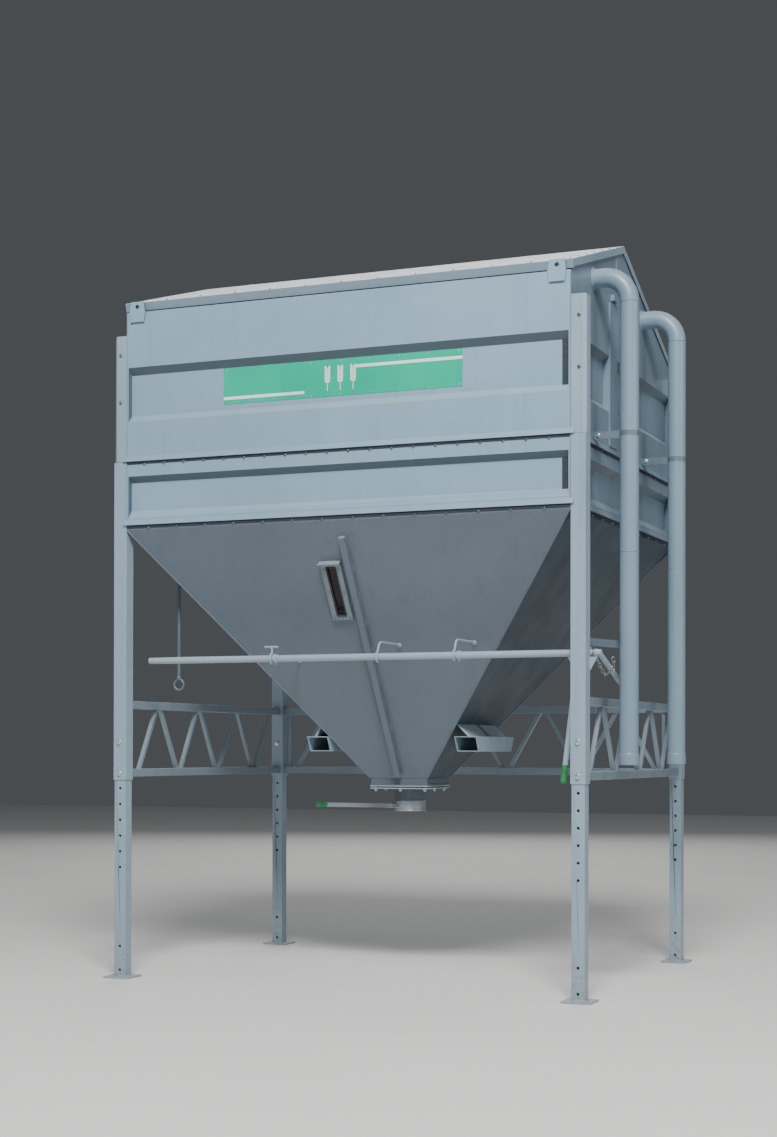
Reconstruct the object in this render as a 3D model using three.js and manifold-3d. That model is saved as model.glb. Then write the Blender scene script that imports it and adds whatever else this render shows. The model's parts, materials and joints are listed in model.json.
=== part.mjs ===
// Outdoor feed bin on four adjustable legs: a pressed-panel store with a gabled roof, a four-plate
// hopper with a slide gate under it, two blower fill pipes and a hand-operated shaft across the front.
// Units are millimetres, +Z is up and the front looks along -Y. Sizes are given from the middle of the
// four legs, and the whole bin then moves so that the origin is under the middle of its overall box.
import * as THREE from "three";
import { mergeVertices } from "three/addons/utils/BufferGeometryUtils.js";
import Module from "manifold-3d";

// Driving dimensions
const GAP = 0.3;
const LEG_SPAN_X = 3020;
const LEG_SPAN_Y = 2268;
const LEG = 90;
const FOOT = 80;
const FOOT_TOP = 1600;
const SLEEVE_BOTTOM = 1252;
const BASE_PLATE = 180;
const BASE_PLATE_T = 12;
const ADJUST_HOLE_D = 18;
const ADJUST_HOLES_Z = [50, 200, 700, 800, 900, 1000, 1100, 1200];

const BODY_BOTTOM = 2863;
const SEAM = 3265;
const SHEET = 5;
const SWAGE_DEPTH = 38;
const SWAGE_END = 4;
const FACE_MARGIN = 8;
const END_MARGIN = 60;
const LIP_REACH = 24;

const ROOF_SHEET = 6;
const RIDGE_Y = -90;
const RIDGE_Z = 4606;
const VERGE_OVERHANG = 10;
const VERGE_DEPTH = 44;
const EAVE_FLANGE = 52;
const FRONT_EAVE = { y: -1180.7, z: 4267, wallTop: 4208, postTop: 4065 };
const BACK_EAVE = { y: 1185, z: 4058, wallTop: 3996, postTop: 3985 };

const HOPPER_RIM = 30;
const HOPPER_BOTTOM = 1262;
const HOPPER_PLATE = 6;
const OUTLET_HALF = 197;

const CHORD = 50;
const TOP_CHORD_Z = 1731;
const BOTTOM_CHORD_Z = 1297;
const LACING = 26;
const LACING_PITCH = 277;
const LACING_SET = 15;
const SIDE_PANELS = 7;
const BACK_PANELS = 10;

const PIPE_OD = 114;
const PIPE_WALL = 4;
const PIPE_BEND = 155;
const PIPE_SIDES = 16;
const PIPE_END_Z = 1360;
const PIPES = [
  { name: "front", y: -720, out: 1685, inletZ: 4255 },
  { name: "back", y: 375, out: 1697, inletZ: 4235 },
];
const COUPLING_LIP = 4;
const COUPLING_LENGTH = 70;
const CLAMP_HALF = 16;
const COLLAR_RIM = 12;
const COLLAR_T = 5;
const STAY_Z = 3320;
const WALL_STAY_DEPTH = 40;
const LEG_STAY_Z = 2074;
const STAY_LEG_X = 1520;
const LEG_STAY_DEPTH = 44;
const STAY_T = 8;

const SHAFT_D = 42;
const SHAFT_Y = -1060;
const SHAFT_Z = 2010;
const SHAFT_LEFT = -1360;
const SHAFT_PLAY = 0.7;
const CRANK_X = 1600;
const CRANK_LENGTH = 480;
const CRANK_DROP = 19.5;
const LEVER_X = 1476;
const LEVER_D = 32;
const LEVER_LENGTH = 762;
const LEVER_LEAN = 6.9;
const LEVER_GRIP = 110;
const EYES = [
  { name: "shaft_eye_left", x: -496, armZ: 2010 },
  { name: "shaft_eye_middle", x: 215, armZ: 2100 },
  { name: "shaft_eye_right", x: 712, armZ: 2105 },
];
const EYE_BAR = 14;

const POCKETS = [
  { name: "fork_pocket_right", side: 1, x: 533 },
  { name: "fork_pocket_left", side: -1, x: 493 },
];
const POCKET_FRONT = -400;
const POCKET_BACK = 340;
const POCKET_BEVEL = 55;
const POCKET_WIDTH = 148;
const POCKET_HEIGHT = 96;
const POCKET_WALL = 6;
const POCKET_Z = 1485;
const HANGER_RISE = 70;
const HANGER_X = 14;
const HANGER_T = 14;
const HANGER_SPANS = [[-377, -35], [15, 317]];

const ROD_X = -1300;
const ROD_Y = -790;
const ROD_D = 22;
const ROD_TOP = 2650;
const ROD_BOTTOM = 1850;

const COLLAR_HALF = 196;
const UPPER_FLANGE = { half: 198, bottom: 1212, top: 1228 };
const LOWER_FLANGE = { half: 183, bottom: 1192, top: 1204 };
const SEAL_HALF = 165;
const SPOUT_D = 205;
const SPOUT_WALL = 5;
const SPOUT_TOP = 1116;
const SPOUT_BOTTOM = 1045;
const GATE_Z = 1078;
const GATE_T = 5;
const GATE_BAR = { bottom: 1064, top: 1092, end: -600 };

const LEG_X = LEG_SPAN_X / 2;
const LEG_Y = LEG_SPAN_Y / 2;
const INNER_X = LEG_X - LEG / 2;
const OUTER_X = LEG_X + LEG / 2;
const INNER_Y = LEG_Y - LEG / 2;
const OUTER_Y = LEG_Y + LEG / 2;
const WALL_X = INNER_X - GAP;
const WALL_Y = OUTER_Y - GAP;

// Materials
function painted(color) {
  return new THREE.MeshStandardMaterial({ color, roughness: 0.45, metalness: 0.3 });
}
const GREY = painted(0x8496a4);
const SHADED = painted(0x5f6d7b);
const ZINC = new THREE.MeshStandardMaterial({ color: 0x9aa3a8, roughness: 0.4, metalness: 0.8 });
const GREEN = new THREE.MeshStandardMaterial({ color: 0x1f8a4c, roughness: 0.6, metalness: 0 });
const GLASS = new THREE.MeshStandardMaterial({ color: 0x15161c, roughness: 0.15, metalness: 0 });

// Solids from shapes and from rings
const wasm = await Module();
wasm.setup();

function toSolid(geometry) {
  const bare = geometry.clone();
  bare.deleteAttribute("normal");
  bare.deleteAttribute("uv");
  const merged = mergeVertices(bare, 1e-3);
  return new wasm.Manifold(
    new wasm.Mesh({
      numProp: 3,
      vertProperties: merged.attributes.position.array,
      triVerts: new Uint32Array(merged.index.array),
    }),
  );
}

function toGeometry(solid) {
  const mesh = solid.getMesh();
  const geometry = new THREE.BufferGeometry();
  geometry.setAttribute("position", new THREE.BufferAttribute(new Float32Array(mesh.vertProperties), 3));
  geometry.setIndex(new THREE.BufferAttribute(new Uint32Array(mesh.triVerts), 1));
  geometry.computeVertexNormals();
  return geometry;
}

function join(...geometries) {
  return toGeometry(geometries.map(toSolid).reduce((whole, next) => whole.add(next)));
}

function cut(geometry, ...tools) {
  return toGeometry(tools.map(toSolid).reduce((rest, tool) => rest.subtract(tool), toSolid(geometry)));
}

function box(x0, x1, y0, y1, z0, z1) {
  const geometry = new THREE.BoxGeometry(x1 - x0, y1 - y0, z1 - z0);
  return geometry.translate((x0 + x1) / 2, (y0 + y1) / 2, (z0 + z1) / 2);
}

function shapeOf(points) {
  return new THREE.Shape(points.map(([u, v]) => new THREE.Vector2(u, v)));
}

// An outline of (y, z) points run along X from x0 to x1.
function alongX(outline, x0, x1) {
  const geometry = new THREE.ExtrudeGeometry(shapeOf(outline), { depth: x1 - x0, bevelEnabled: false });
  const turn = new THREE.Matrix4().makeBasis(
    new THREE.Vector3(0, 1, 0),
    new THREE.Vector3(0, 0, 1),
    new THREE.Vector3(1, 0, 0),
  );
  return geometry.applyMatrix4(turn).translate(x0, 0, 0);
}

// An outline of (x, z) points run along Y from y0 to y1.
function alongY(outline, y0, y1) {
  const geometry = new THREE.ExtrudeGeometry(shapeOf(outline), { depth: y1 - y0, bevelEnabled: false });
  return geometry.rotateX(Math.PI / 2).translate(0, y1, 0);
}

function cylinder(diameter, from, to, sides) {
  const a = new THREE.Vector3(...from);
  const b = new THREE.Vector3(...to);
  const geometry = new THREE.CylinderGeometry(diameter / 2, diameter / 2, a.distanceTo(b), sides);
  const up = new THREE.Vector3(0, 1, 0);
  const turn = new THREE.Quaternion().setFromUnitVectors(up, b.clone().sub(a).normalize());
  geometry.applyQuaternion(turn);
  return geometry.translate(...a.add(b).multiplyScalar(0.5).toArray());
}

// The triangles of a flat ring, each running the same way round as the ring itself.
function capOf(ring, flatten) {
  const contour = ring.map(flatten);
  const way = Math.sign(THREE.ShapeUtils.area(contour));
  return THREE.ShapeUtils.triangulateShape(contour, []).map(([a, b, c]) => {
    const area = THREE.ShapeUtils.area([contour[a], contour[b], contour[c]]);
    return Math.sign(area) === way ? [a, b, c] : [a, c, b];
  });
}

// A closed body through rings of like points, each ring running the same way round.
function loft(rings, flatten) {
  const count = rings[0].length;
  const faces = [];
  for (let r = 0; r + 1 < rings.length; r += 1) {
    for (let i = 0; i < count; i += 1) {
      const a = r * count + i;
      const b = r * count + ((i + 1) % count);
      faces.push([a, b, b + count], [a, b + count, a + count]);
    }
  }
  const last = (rings.length - 1) * count;
  capOf(rings[0], flatten).forEach(([a, b, c]) => faces.push([a, c, b]));
  capOf(rings.at(-1), flatten).forEach(([a, b, c]) => faces.push([last + a, last + b, last + c]));
  const corners = rings.flat().map((point) => new THREE.Vector3(...point));
  const volume = faces.reduce(
    (sum, [a, b, c]) => sum + corners[a].dot(corners[b].clone().cross(corners[c])),
    0,
  );
  const geometry = new THREE.BufferGeometry();
  geometry.setAttribute("position", new THREE.Float32BufferAttribute(rings.flat(2), 3));
  geometry.setIndex(faces.flatMap(([a, b, c]) => (volume > 0 ? [a, b, c] : [a, c, b])));
  return geometry;
}

const seenFromFront = ([x, , z]) => new THREE.Vector2(x, z);
const seenFromAbove = ([x, y]) => new THREE.Vector2(x, y);

// Scene graph
const bin = new THREE.Group();

function add(name, geometry, material, parent = bin) {
  const mesh = new THREE.Mesh(geometry, material);
  mesh.name = name;
  parent.add(mesh);
  return mesh;
}

const CORNERS = [
  { name: "front_left", x: -1, y: -1 },
  { name: "front_right", x: 1, y: -1 },
  { name: "back_left", x: -1, y: 1 },
  { name: "back_right", x: 1, y: 1 },
];

// Legs: an upper sleeve with a square socket, and a drilled foot tube that telescopes into it
function sleeve() {
  const socket = FOOT / 2 + GAP;
  return cut(
    box(-LEG / 2, LEG / 2, -LEG / 2, LEG / 2, SLEEVE_BOTTOM, SEAM - GAP / 2),
    box(-socket, socket, -socket, socket, SLEEVE_BOTTOM - 1, FOOT_TOP + GAP),
  );
}

function foot() {
  const tube = box(-FOOT / 2, FOOT / 2, -FOOT / 2, FOOT / 2, BASE_PLATE_T / 2, FOOT_TOP);
  const plate = box(-BASE_PLATE / 2, BASE_PLATE / 2, -BASE_PLATE / 2, BASE_PLATE / 2, 0, BASE_PLATE_T);
  const drills = ADJUST_HOLES_Z.map((z) => cylinder(ADJUST_HOLE_D, [0, -FOOT, z], [0, FOOT, z], 8));
  return cut(join(tube, plate), ...drills);
}

// The saddle is a pointed plate on the back of the front right leg, with a ring for the shaft.
function saddle() {
  const y = SHAFT_Y + LEG_Y;
  const half = 88;
  const top = SHAFT_Z - 25;
  const point = SHAFT_Z - 185;
  const thick = 8;
  const plate = alongY([[-half, top], [0, point], [half, top]], LEG / 2 - 1, LEG / 2 + thick);
  const ring = cylinder(SHAFT_D + 24, [28, y, SHAFT_Z], [42, y, SHAFT_Z], 16);
  const hole = cylinder(SHAFT_D + 2 * SHAFT_PLAY, [10, y, SHAFT_Z], [60, y, SHAFT_Z], 16);
  return cut(join(plate, ring), hole);
}

function addLegs() {
  for (const corner of CORNERS) {
    const group = new THREE.Group();
    group.position.set(corner.x * LEG_X, corner.y * LEG_Y, 0);
    const held = corner.name === "front_right" ? join(sleeve(), saddle()) : sleeve();
    add("leg_" + corner.name, held, GREY, group);
    add("foot_" + corner.name, foot(), GREY, group);
    bin.add(group);
  }
}

// Laced girders between the legs on the left, the right and the back
function girder(length, panels) {
  const half = length / 2;
  const chords = [TOP_CHORD_Z, BOTTOM_CHORD_Z].map((z) =>
    box(-half, half, -CHORD / 2, CHORD / 2, z - CHORD / 2, z + CHORD / 2),
  );
  const run = LACING_PITCH - 2 * LACING_SET;
  const rise = TOP_CHORD_Z - BOTTOM_CHORD_Z;
  const bars = [];
  for (let i = 0; i < panels; i += 1) {
    const slant = Math.atan2(i % 2 ? -rise : rise, run);
    const bar = new THREE.BoxGeometry(Math.hypot(run, rise), LACING, LACING);
    bar.rotateY(-slant).translate((i - (panels - 1) / 2) * LACING_PITCH, 0, (TOP_CHORD_Z + BOTTOM_CHORD_Z) / 2);
    bars.push(bar);
  }
  return join(...chords, ...bars);
}

function addGirders() {
  for (const [name, x] of [["girder_left", -LEG_X], ["girder_right", LEG_X]]) {
    const mesh = add(name, girder(2 * (INNER_Y - GAP), SIDE_PANELS), GREY);
    mesh.position.x = x;
    mesh.rotation.z = Math.PI / 2;
  }
  const tieX = INNER_X - 45;
  const tieHalf = 12;
  const ties = [-tieX, tieX].map((x) =>
    box(x - tieHalf, x + tieHalf, -tieHalf, tieHalf, BOTTOM_CHORD_Z, TOP_CHORD_Z),
  );
  const mesh = add("girder_back", join(girder(2 * (INNER_X - GAP), BACK_PANELS), ...ties), GREY);
  mesh.position.y = LEG_Y;
}

// Walls: pressed panels with one recessed tray each, outer face at y = 0 and z from the panel's foot
function tray(flat, swage, grow, from, to) {
  const ring = (half, bottom, top, y) => [
    [-half - grow, y, bottom - grow],
    [half + grow, y, bottom - grow],
    [half + grow, y, top + grow],
    [-half - grow, y, top + grow],
  ];
  return loft(
    [
      ring(flat, swage.slopeFoot, swage.slopeTop, from),
      ring(flat, swage.slopeFoot, swage.slopeTop, to - SWAGE_DEPTH),
      ring(flat - SWAGE_END, swage.bandFoot, swage.bandTop, to),
    ],
    seenFromFront,
  );
}

function panel(width, height, swage, margin) {
  const flat = width / 2 - margin;
  const slab = box(-width / 2, width / 2, 0, SHEET, 0, height);
  const body = tray(flat, swage, SHEET, 1, SWAGE_DEPTH + SHEET);
  return cut(join(slab, body), tray(flat, swage, 0, -1, SWAGE_DEPTH));
}

// A drip lip along a panel's foot, standing proud and reaching over the legs' faces.
function lip(width, reach) {
  const half = width / 2;
  const proud = alongX([[-1, 34], [-12, 4], [-12, 0], [-1, 0]], -half - reach, half + reach);
  const root = alongX([[-2, 30], [-2, 0], [2, 0], [2, 30]], -half, half);
  return join(proud, root);
}

const LOWER_SWAGE = { slopeFoot: 44, bandFoot: 94, bandTop: 271, slopeTop: 309 };
const UPPER_SWAGE = { slopeFoot: 251, bandFoot: 291, bandTop: 550, slopeTop: 595 };
const LUG = { x: 1383, below: 124, widest: 66, hole: 28, above: 4, half: 56, endHalf: 46, thick: 9, holeD: 28 };

// A lifting lug stands in front of the eave, on a root fixed to the wall's face.
function lug(x, eave) {
  const eaveZ = eave.z - SEAM;
  const front = -(Math.abs(eave.y) - WALL_Y) - 1;
  const outline = [
    [x - LUG.endHalf, eaveZ - LUG.below],
    [x + LUG.endHalf, eaveZ - LUG.below],
    [x + LUG.half, eaveZ - LUG.widest],
    [x + LUG.endHalf, eaveZ + LUG.above],
    [x - LUG.endHalf, eaveZ + LUG.above],
    [x - LUG.half, eaveZ - LUG.widest],
  ];
  const plate = alongY(outline, front - LUG.thick, front);
  const wallTop = eave.wallTop - SEAM;
  const root = box(x - LUG.endHalf, x + LUG.endHalf, front - 2, 1, eaveZ - LUG.below, wallTop - GAP);
  const z = eaveZ - LUG.hole;
  return cut(join(plate, root), cylinder(LUG.holeD, [x, front - 20, z], [x, front + 1, z], 12));
}

function roofUnderside(y) {
  const eave = y < RIDGE_Y ? FRONT_EAVE : BACK_EAVE;
  const slope = (eave.z - RIDGE_Z) / (eave.y - RIDGE_Y);
  return RIDGE_Z + (y - RIDGE_Y) * slope - ROOF_SHEET * Math.hypot(1, slope);
}

// The flat sheet of an end wall above its pressed panel, up to the underside of the roof.
function gable(side) {
  const foot = BACK_EAVE.wallTop - 2;
  const under = (y) => roofUnderside(y) - 1.5 * GAP;
  const inset = 28;
  const front = -WALL_Y;
  const outline = [
    [front, foot],
    [front, FRONT_EAVE.wallTop],
    [front + inset, FRONT_EAVE.wallTop],
    [front + inset, under(front + inset)],
    [RIDGE_Y, under(RIDGE_Y)],
    [WALL_Y - inset, under(WALL_Y - inset)],
    [WALL_Y - inset, foot],
  ];
  return alongY(outline.map(([y, z]) => [side * y, z - SEAM]), 0, SHEET);
}

const LOWER_HEIGHT = SEAM - GAP / 2 - BODY_BOTTOM;

function placeWall(name, position, turn, lower, upper) {
  const group = new THREE.Group();
  group.position.set(position.x, position.y, 0);
  group.rotation.z = turn;
  bin.add(group);
  add("lower_wall_" + name, lower, GREY, group).position.z = BODY_BOTTOM;
  add("upper_wall_" + name, upper, GREY, group).position.z = SEAM + GAP / 2;
}

function addFaceWalls() {
  const width = 2 * (WALL_X - SHEET - GAP);
  for (const [name, turn, eave] of [["front", 0, FRONT_EAVE], ["back", Math.PI, BACK_EAVE]]) {
    const lower = join(panel(width, LOWER_HEIGHT, LOWER_SWAGE, FACE_MARGIN), lip(width, LIP_REACH));
    const sheet = panel(width, eave.wallTop - SEAM - GAP, UPPER_SWAGE, FACE_MARGIN);
    const upper = join(sheet, lip(width, LIP_REACH), lug(-LUG.x, eave), lug(LUG.x, eave));
    placeWall(name, { x: 0, y: Math.sign(eave.y) * WALL_Y }, turn, lower, upper);
  }
}

function addEndWalls() {
  const width = 2 * WALL_Y;
  const lipWidth = 2 * (INNER_Y - 4);
  for (const [name, side] of [["left", -1], ["right", 1]]) {
    const lower = join(panel(width, LOWER_HEIGHT, LOWER_SWAGE, END_MARGIN), lip(lipWidth, 0));
    const sheet = panel(width, BACK_EAVE.wallTop - SEAM - GAP, UPPER_SWAGE, END_MARGIN);
    let upper = join(sheet, lip(lipWidth, 0), gable(side));
    if (side > 0) {
      const bores = PIPES.map(({ y, inletZ }) => {
        const z = inletZ - SEAM;
        return cylinder(PIPE_OD + 6, [y, -SHEET, z], [y, 2 * SHEET, z], 20);
      });
      upper = cut(upper, ...bores);
    }
    placeWall(name, { x: side * WALL_X, y: 0 }, (side * Math.PI) / 2, lower, upper);
  }
}

// Corner posts above the legs, with the outer corner folded at 45 degrees
function post(corner, top) {
  const half = LEG / 2;
  const fold = 18;
  const outline = [[-half, -half], [half - fold, -half], [half, -half + fold], [half, half], [-half, half]];
  const placed = outline.map(([x, y]) => [x * corner.x, -y * corner.y]);
  const shape = shapeOf(corner.x * corner.y > 0 ? placed.reverse() : placed);
  return new THREE.ExtrudeGeometry(shape, { depth: top - SEAM, bevelEnabled: false });
}

function addPosts() {
  for (const corner of CORNERS) {
    const { postTop } = corner.y < 0 ? FRONT_EAVE : BACK_EAVE;
    const mesh = add("post_" + corner.name, post(corner, postTop), GREY);
    mesh.position.set(corner.x * LEG_X, corner.y * LEG_Y, SEAM + GAP);
  }
}

// Roof: a steep back sheet and a flatter front one, each with a square flange at the eave and a folded
// edge at both verges
function roofSheet(eave) {
  const halfLength = WALL_X + VERGE_OVERHANG;
  const out = Math.sign(eave.y - RIDGE_Y);
  const run = Math.hypot(eave.y - RIDGE_Y, eave.z - RIDGE_Z);
  const down = [(eave.y - RIDGE_Y) / run, (eave.z - RIDGE_Z) / run];
  const under = [down[1] * out, -Math.abs(down[0])];
  const at = (along, depth) => [
    RIDGE_Y + along * down[0] + depth * under[0],
    RIDGE_Z + along * down[1] + depth * under[1],
  ];
  const ridge = (depth) => [RIDGE_Y + (out * GAP) / 2, RIDGE_Z - depth / Math.abs(down[0])];
  const sheet = alongX(
    [
      ridge(0),
      at(run, 0),
      at(run, EAVE_FLANGE),
      at(run - SHEET, EAVE_FLANGE),
      at(run - SHEET, ROOF_SHEET),
      ridge(ROOF_SHEET),
    ],
    -halfLength,
    halfLength,
  );
  const fold = [ridge(2), at(run - 1, 2), at(run - 1, VERGE_DEPTH), ridge(VERGE_DEPTH)];
  const verges = [-halfLength, halfLength - SHEET].map((x) => alongX(fold, x, x + SHEET));
  return join(sheet, ...verges);
}

function addRoof() {
  add("roof_front", roofSheet(FRONT_EAVE), GREY);
  add("roof_back", roofSheet(BACK_EAVE), GREY);
}

// Hopper: four plates meeting at the corners, each with an upright rim under the walls
const HOPPER_TOP = BODY_BOTTOM - GAP;
const HOPPER_TOP_X = WALL_X - 2;
const HOPPER_TOP_Y = WALL_Y - 2;

function hopperHalf(z, topHalf) {
  const share = Math.min(1, (z - HOPPER_BOTTOM) / (HOPPER_TOP - HOPPER_RIM - HOPPER_BOTTOM));
  return OUTLET_HALF + share * (topHalf - OUTLET_HALF);
}

function hopperPlate(topFace, topWidth, inset) {
  const ring = (z) => {
    const face = hopperHalf(z, topFace);
    const width = hopperHalf(z, topWidth) - inset;
    return [
      [-width, -face, z],
      [width, -face, z],
      [width, -face + HOPPER_PLATE, z],
      [-width, -face + HOPPER_PLATE, z],
    ];
  };
  return loft([ring(HOPPER_BOTTOM), ring(HOPPER_TOP - HOPPER_RIM), ring(HOPPER_TOP)], seenFromAbove);
}

function addHopper() {
  const inset = HOPPER_PLATE + GAP;
  add("hopper_front", hopperPlate(HOPPER_TOP_Y, HOPPER_TOP_X, 0), SHADED);
  add("hopper_back", hopperPlate(HOPPER_TOP_Y, HOPPER_TOP_X, 0), SHADED).rotation.z = Math.PI;
  add("hopper_right", hopperPlate(HOPPER_TOP_X, HOPPER_TOP_Y, inset), SHADED).rotation.z = Math.PI / 2;
  add("hopper_left", hopperPlate(HOPPER_TOP_X, HOPPER_TOP_Y, inset), SHADED).rotation.z = -Math.PI / 2;
}

// A frame lying on the front hopper plate: +Y of the frame runs down the plate, +Z points out of it.
const PLATE_RUN = HOPPER_TOP_Y - OUTLET_HALF;
const PLATE_DROP = HOPPER_TOP - HOPPER_RIM - HOPPER_BOTTOM;
const PLATE_ANGLE = Math.atan2(PLATE_DROP, PLATE_RUN);
const PLATE_LENGTH = Math.hypot(PLATE_RUN, PLATE_DROP);

function onFrontPlate() {
  const group = new THREE.Group();
  group.position.set(0, -HOPPER_TOP_Y, HOPPER_TOP - HOPPER_RIM);
  const down = new THREE.Vector3(0, Math.cos(PLATE_ANGLE), -Math.sin(PLATE_ANGLE));
  const across = new THREE.Vector3(-1, 0, 0);
  const out = across.clone().cross(down);
  group.quaternion.setFromRotationMatrix(new THREE.Matrix4().makeBasis(across, down, out));
  bin.add(group);
  return group;
}

// Stiffening rib: a box section down the middle of the front plate
function addRib(plate) {
  const start = 105;
  const end = PLATE_LENGTH - 30;
  const left = 12;
  const right = 28;
  const thick = 36;
  add("hopper_rib", box(-right, left, start, end, GAP, GAP + thick), SHADED, plate);
}

// Sight glass: a framed window beside the rib, with a hood over its top
const GLASS_X = 114;
const GLASS_TOP = 276;
const GLASS_LENGTH = 395;
const GLASS_WIDTH = 136;

function addSightGlass(plate) {
  const side = 38;
  const edge = 30;
  const frameT = 18;
  const hoodT = 7;
  const hoodOut = 48;
  const x0 = GLASS_X - GLASS_WIDTH / 2;
  const x1 = GLASS_X + GLASS_WIDTH / 2;
  const y1 = GLASS_TOP + GLASS_LENGTH;
  const frame = cut(
    join(
      box(x0, x1, GLASS_TOP, y1, GAP, frameT),
      box(x0 - 4, x1 + 4, GLASS_TOP + 1 - hoodT, GLASS_TOP + 1, GAP, hoodOut),
    ),
    box(x0 + side, x1 - side, GLASS_TOP + edge, y1 - edge, -1, frameT + 2),
  );
  add("sight_frame", frame, SHADED, plate);
  const pane = box(x0 + side + 1, x1 - side - 1, GLASS_TOP + edge + 1, y1 - edge - 1, GAP, 8);
  add("sight_glass", pane, GLASS, plate);
}

// Outlet: a square collar, two flanges with a seal between them, and a round neck whose lower part is
// a spout with a slot for the slide gate
function flange(plate) {
  return box(-plate.half, plate.half, -plate.half, plate.half, plate.bottom, plate.top);
}

function bore(bottom, top) {
  return cylinder(SPOUT_D - 2 * SPOUT_WALL, [0, 0, bottom], [0, 0, top], 32);
}

function outletCollar() {
  const top = HOPPER_BOTTOM - GAP;
  const inside = COLLAR_HALF - HOPPER_PLATE;
  const walls = cut(
    box(-COLLAR_HALF, COLLAR_HALF, -COLLAR_HALF, COLLAR_HALF, UPPER_FLANGE.top - 2, top),
    box(-inside, inside, -inside, inside, UPPER_FLANGE.top, top + 1),
  );
  const seal = box(-SEAL_HALF, SEAL_HALF, -SEAL_HALF, SEAL_HALF, LOWER_FLANGE.top + GAP, UPPER_FLANGE.bottom + 1);
  return cut(join(walls, flange(UPPER_FLANGE), seal), bore(LOWER_FLANGE.top, UPPER_FLANGE.top + 1));
}

function outletNeck() {
  const shell = cylinder(SPOUT_D, [0, 0, SPOUT_TOP], [0, 0, LOWER_FLANGE.top - 1], 32);
  return cut(join(shell, flange(LOWER_FLANGE)), bore(SPOUT_TOP - 1, LOWER_FLANGE.top + 1));
}

function outletSpout() {
  const top = SPOUT_TOP - GAP;
  const shell = cylinder(SPOUT_D, [0, 0, SPOUT_BOTTOM], [0, 0, top], 32);
  const slot = box(-SPOUT_D, 0, -SPOUT_D / 2 + 8, SPOUT_D / 2 - 8, GATE_Z - GATE_T, GATE_Z + GATE_T);
  return cut(shell, bore(SPOUT_BOTTOM - 1, top + 1), slot);
}

// The gate is a round-ended plate, with a pull bar on edge outside the spout.
const GATE_TAIL = -132;

function slideGate() {
  const radius = SPOUT_D / 2 - SPOUT_WALL - 1;
  const shape = new THREE.Shape();
  const halfWidth = SPOUT_D / 2 - 12;
  const edge = Math.sqrt(radius * radius - halfWidth * halfWidth);
  const angle = Math.atan2(halfWidth, edge);
  shape.moveTo(GATE_TAIL, -halfWidth);
  shape.lineTo(edge, -halfWidth);
  shape.absarc(0, 0, radius, -angle, angle, false);
  shape.lineTo(GATE_TAIL, halfWidth);
  const plate = new THREE.ExtrudeGeometry(shape, { depth: GATE_T, bevelEnabled: false, curveSegments: 16 });
  plate.translate(0, 0, GATE_Z - GATE_T / 2);
  const bar = box(GATE_BAR.end, GATE_TAIL + 14, -6, 6, GATE_BAR.bottom, GATE_BAR.top);
  return join(plate, bar);
}

function addOutlet() {
  add("outlet_collar", outletCollar(), GREY);
  add("outlet_neck", outletNeck(), GREY);
  add("outlet_spout", outletSpout(), ZINC);
  add("slide_gate", slideGate(), ZINC);
  const z = (GATE_BAR.bottom + GATE_BAR.top) / 2;
  const grip = cylinder(34, [GATE_BAR.end - 85, 0, z], [GATE_BAR.end - GAP, 0, z], 12);
  add("slide_grip", grip, GREEN);
}

// Fill pipes: a swept elbow out of the right gable, and a drop tube under it to coupling height
const bendCentreZ = (pipe) => pipe.inletZ - PIPE_BEND;

function elbowBody(pipe, diameter, extra) {
  const inner = WALL_X - SHEET - extra;
  const centre = new THREE.Vector3(pipe.out - PIPE_BEND, pipe.y, bendCentreZ(pipe));
  const steps = 8;
  const ring = (middle, out) => {
    const points = [];
    for (let i = 0; i < PIPE_SIDES; i += 1) {
      const turn = (2 * Math.PI * i) / PIPE_SIDES;
      const arm = out.clone().multiplyScalar(Math.cos(turn)).setY(Math.sin(turn));
      points.push(middle.clone().addScaledVector(arm, diameter / 2).toArray());
    }
    return points;
  };
  const rings = [ring(new THREE.Vector3(inner, pipe.y, pipe.inletZ), new THREE.Vector3(0, 0, 1))];
  for (let k = 0; k <= steps; k += 1) {
    const turn = (k / steps) * (Math.PI / 2);
    const out = new THREE.Vector3(Math.sin(turn), 0, Math.cos(turn));
    rings.push(ring(centre.clone().addScaledVector(out, PIPE_BEND), out));
  }
  const end = new THREE.Vector3(pipe.out, pipe.y, centre.z - extra);
  if (extra > 0) rings.push(ring(end, new THREE.Vector3(1, 0, 0)));
  return loft(rings, ([x, y, z]) => new THREE.Vector2(y, Math.abs(x - inner) < 1 ? z : x));
}

function fillElbow(pipe) {
  const face = WALL_X + GAP;
  const collar = cylinder(
    PIPE_OD + 2 * COLLAR_RIM,
    [face, pipe.y, pipe.inletZ],
    [face + COLLAR_T, pipe.y, pipe.inletZ],
    20,
  );
  return cut(join(elbowBody(pipe, PIPE_OD, 0), collar), elbowBody(pipe, PIPE_OD - 2 * PIPE_WALL, 2));
}

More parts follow.
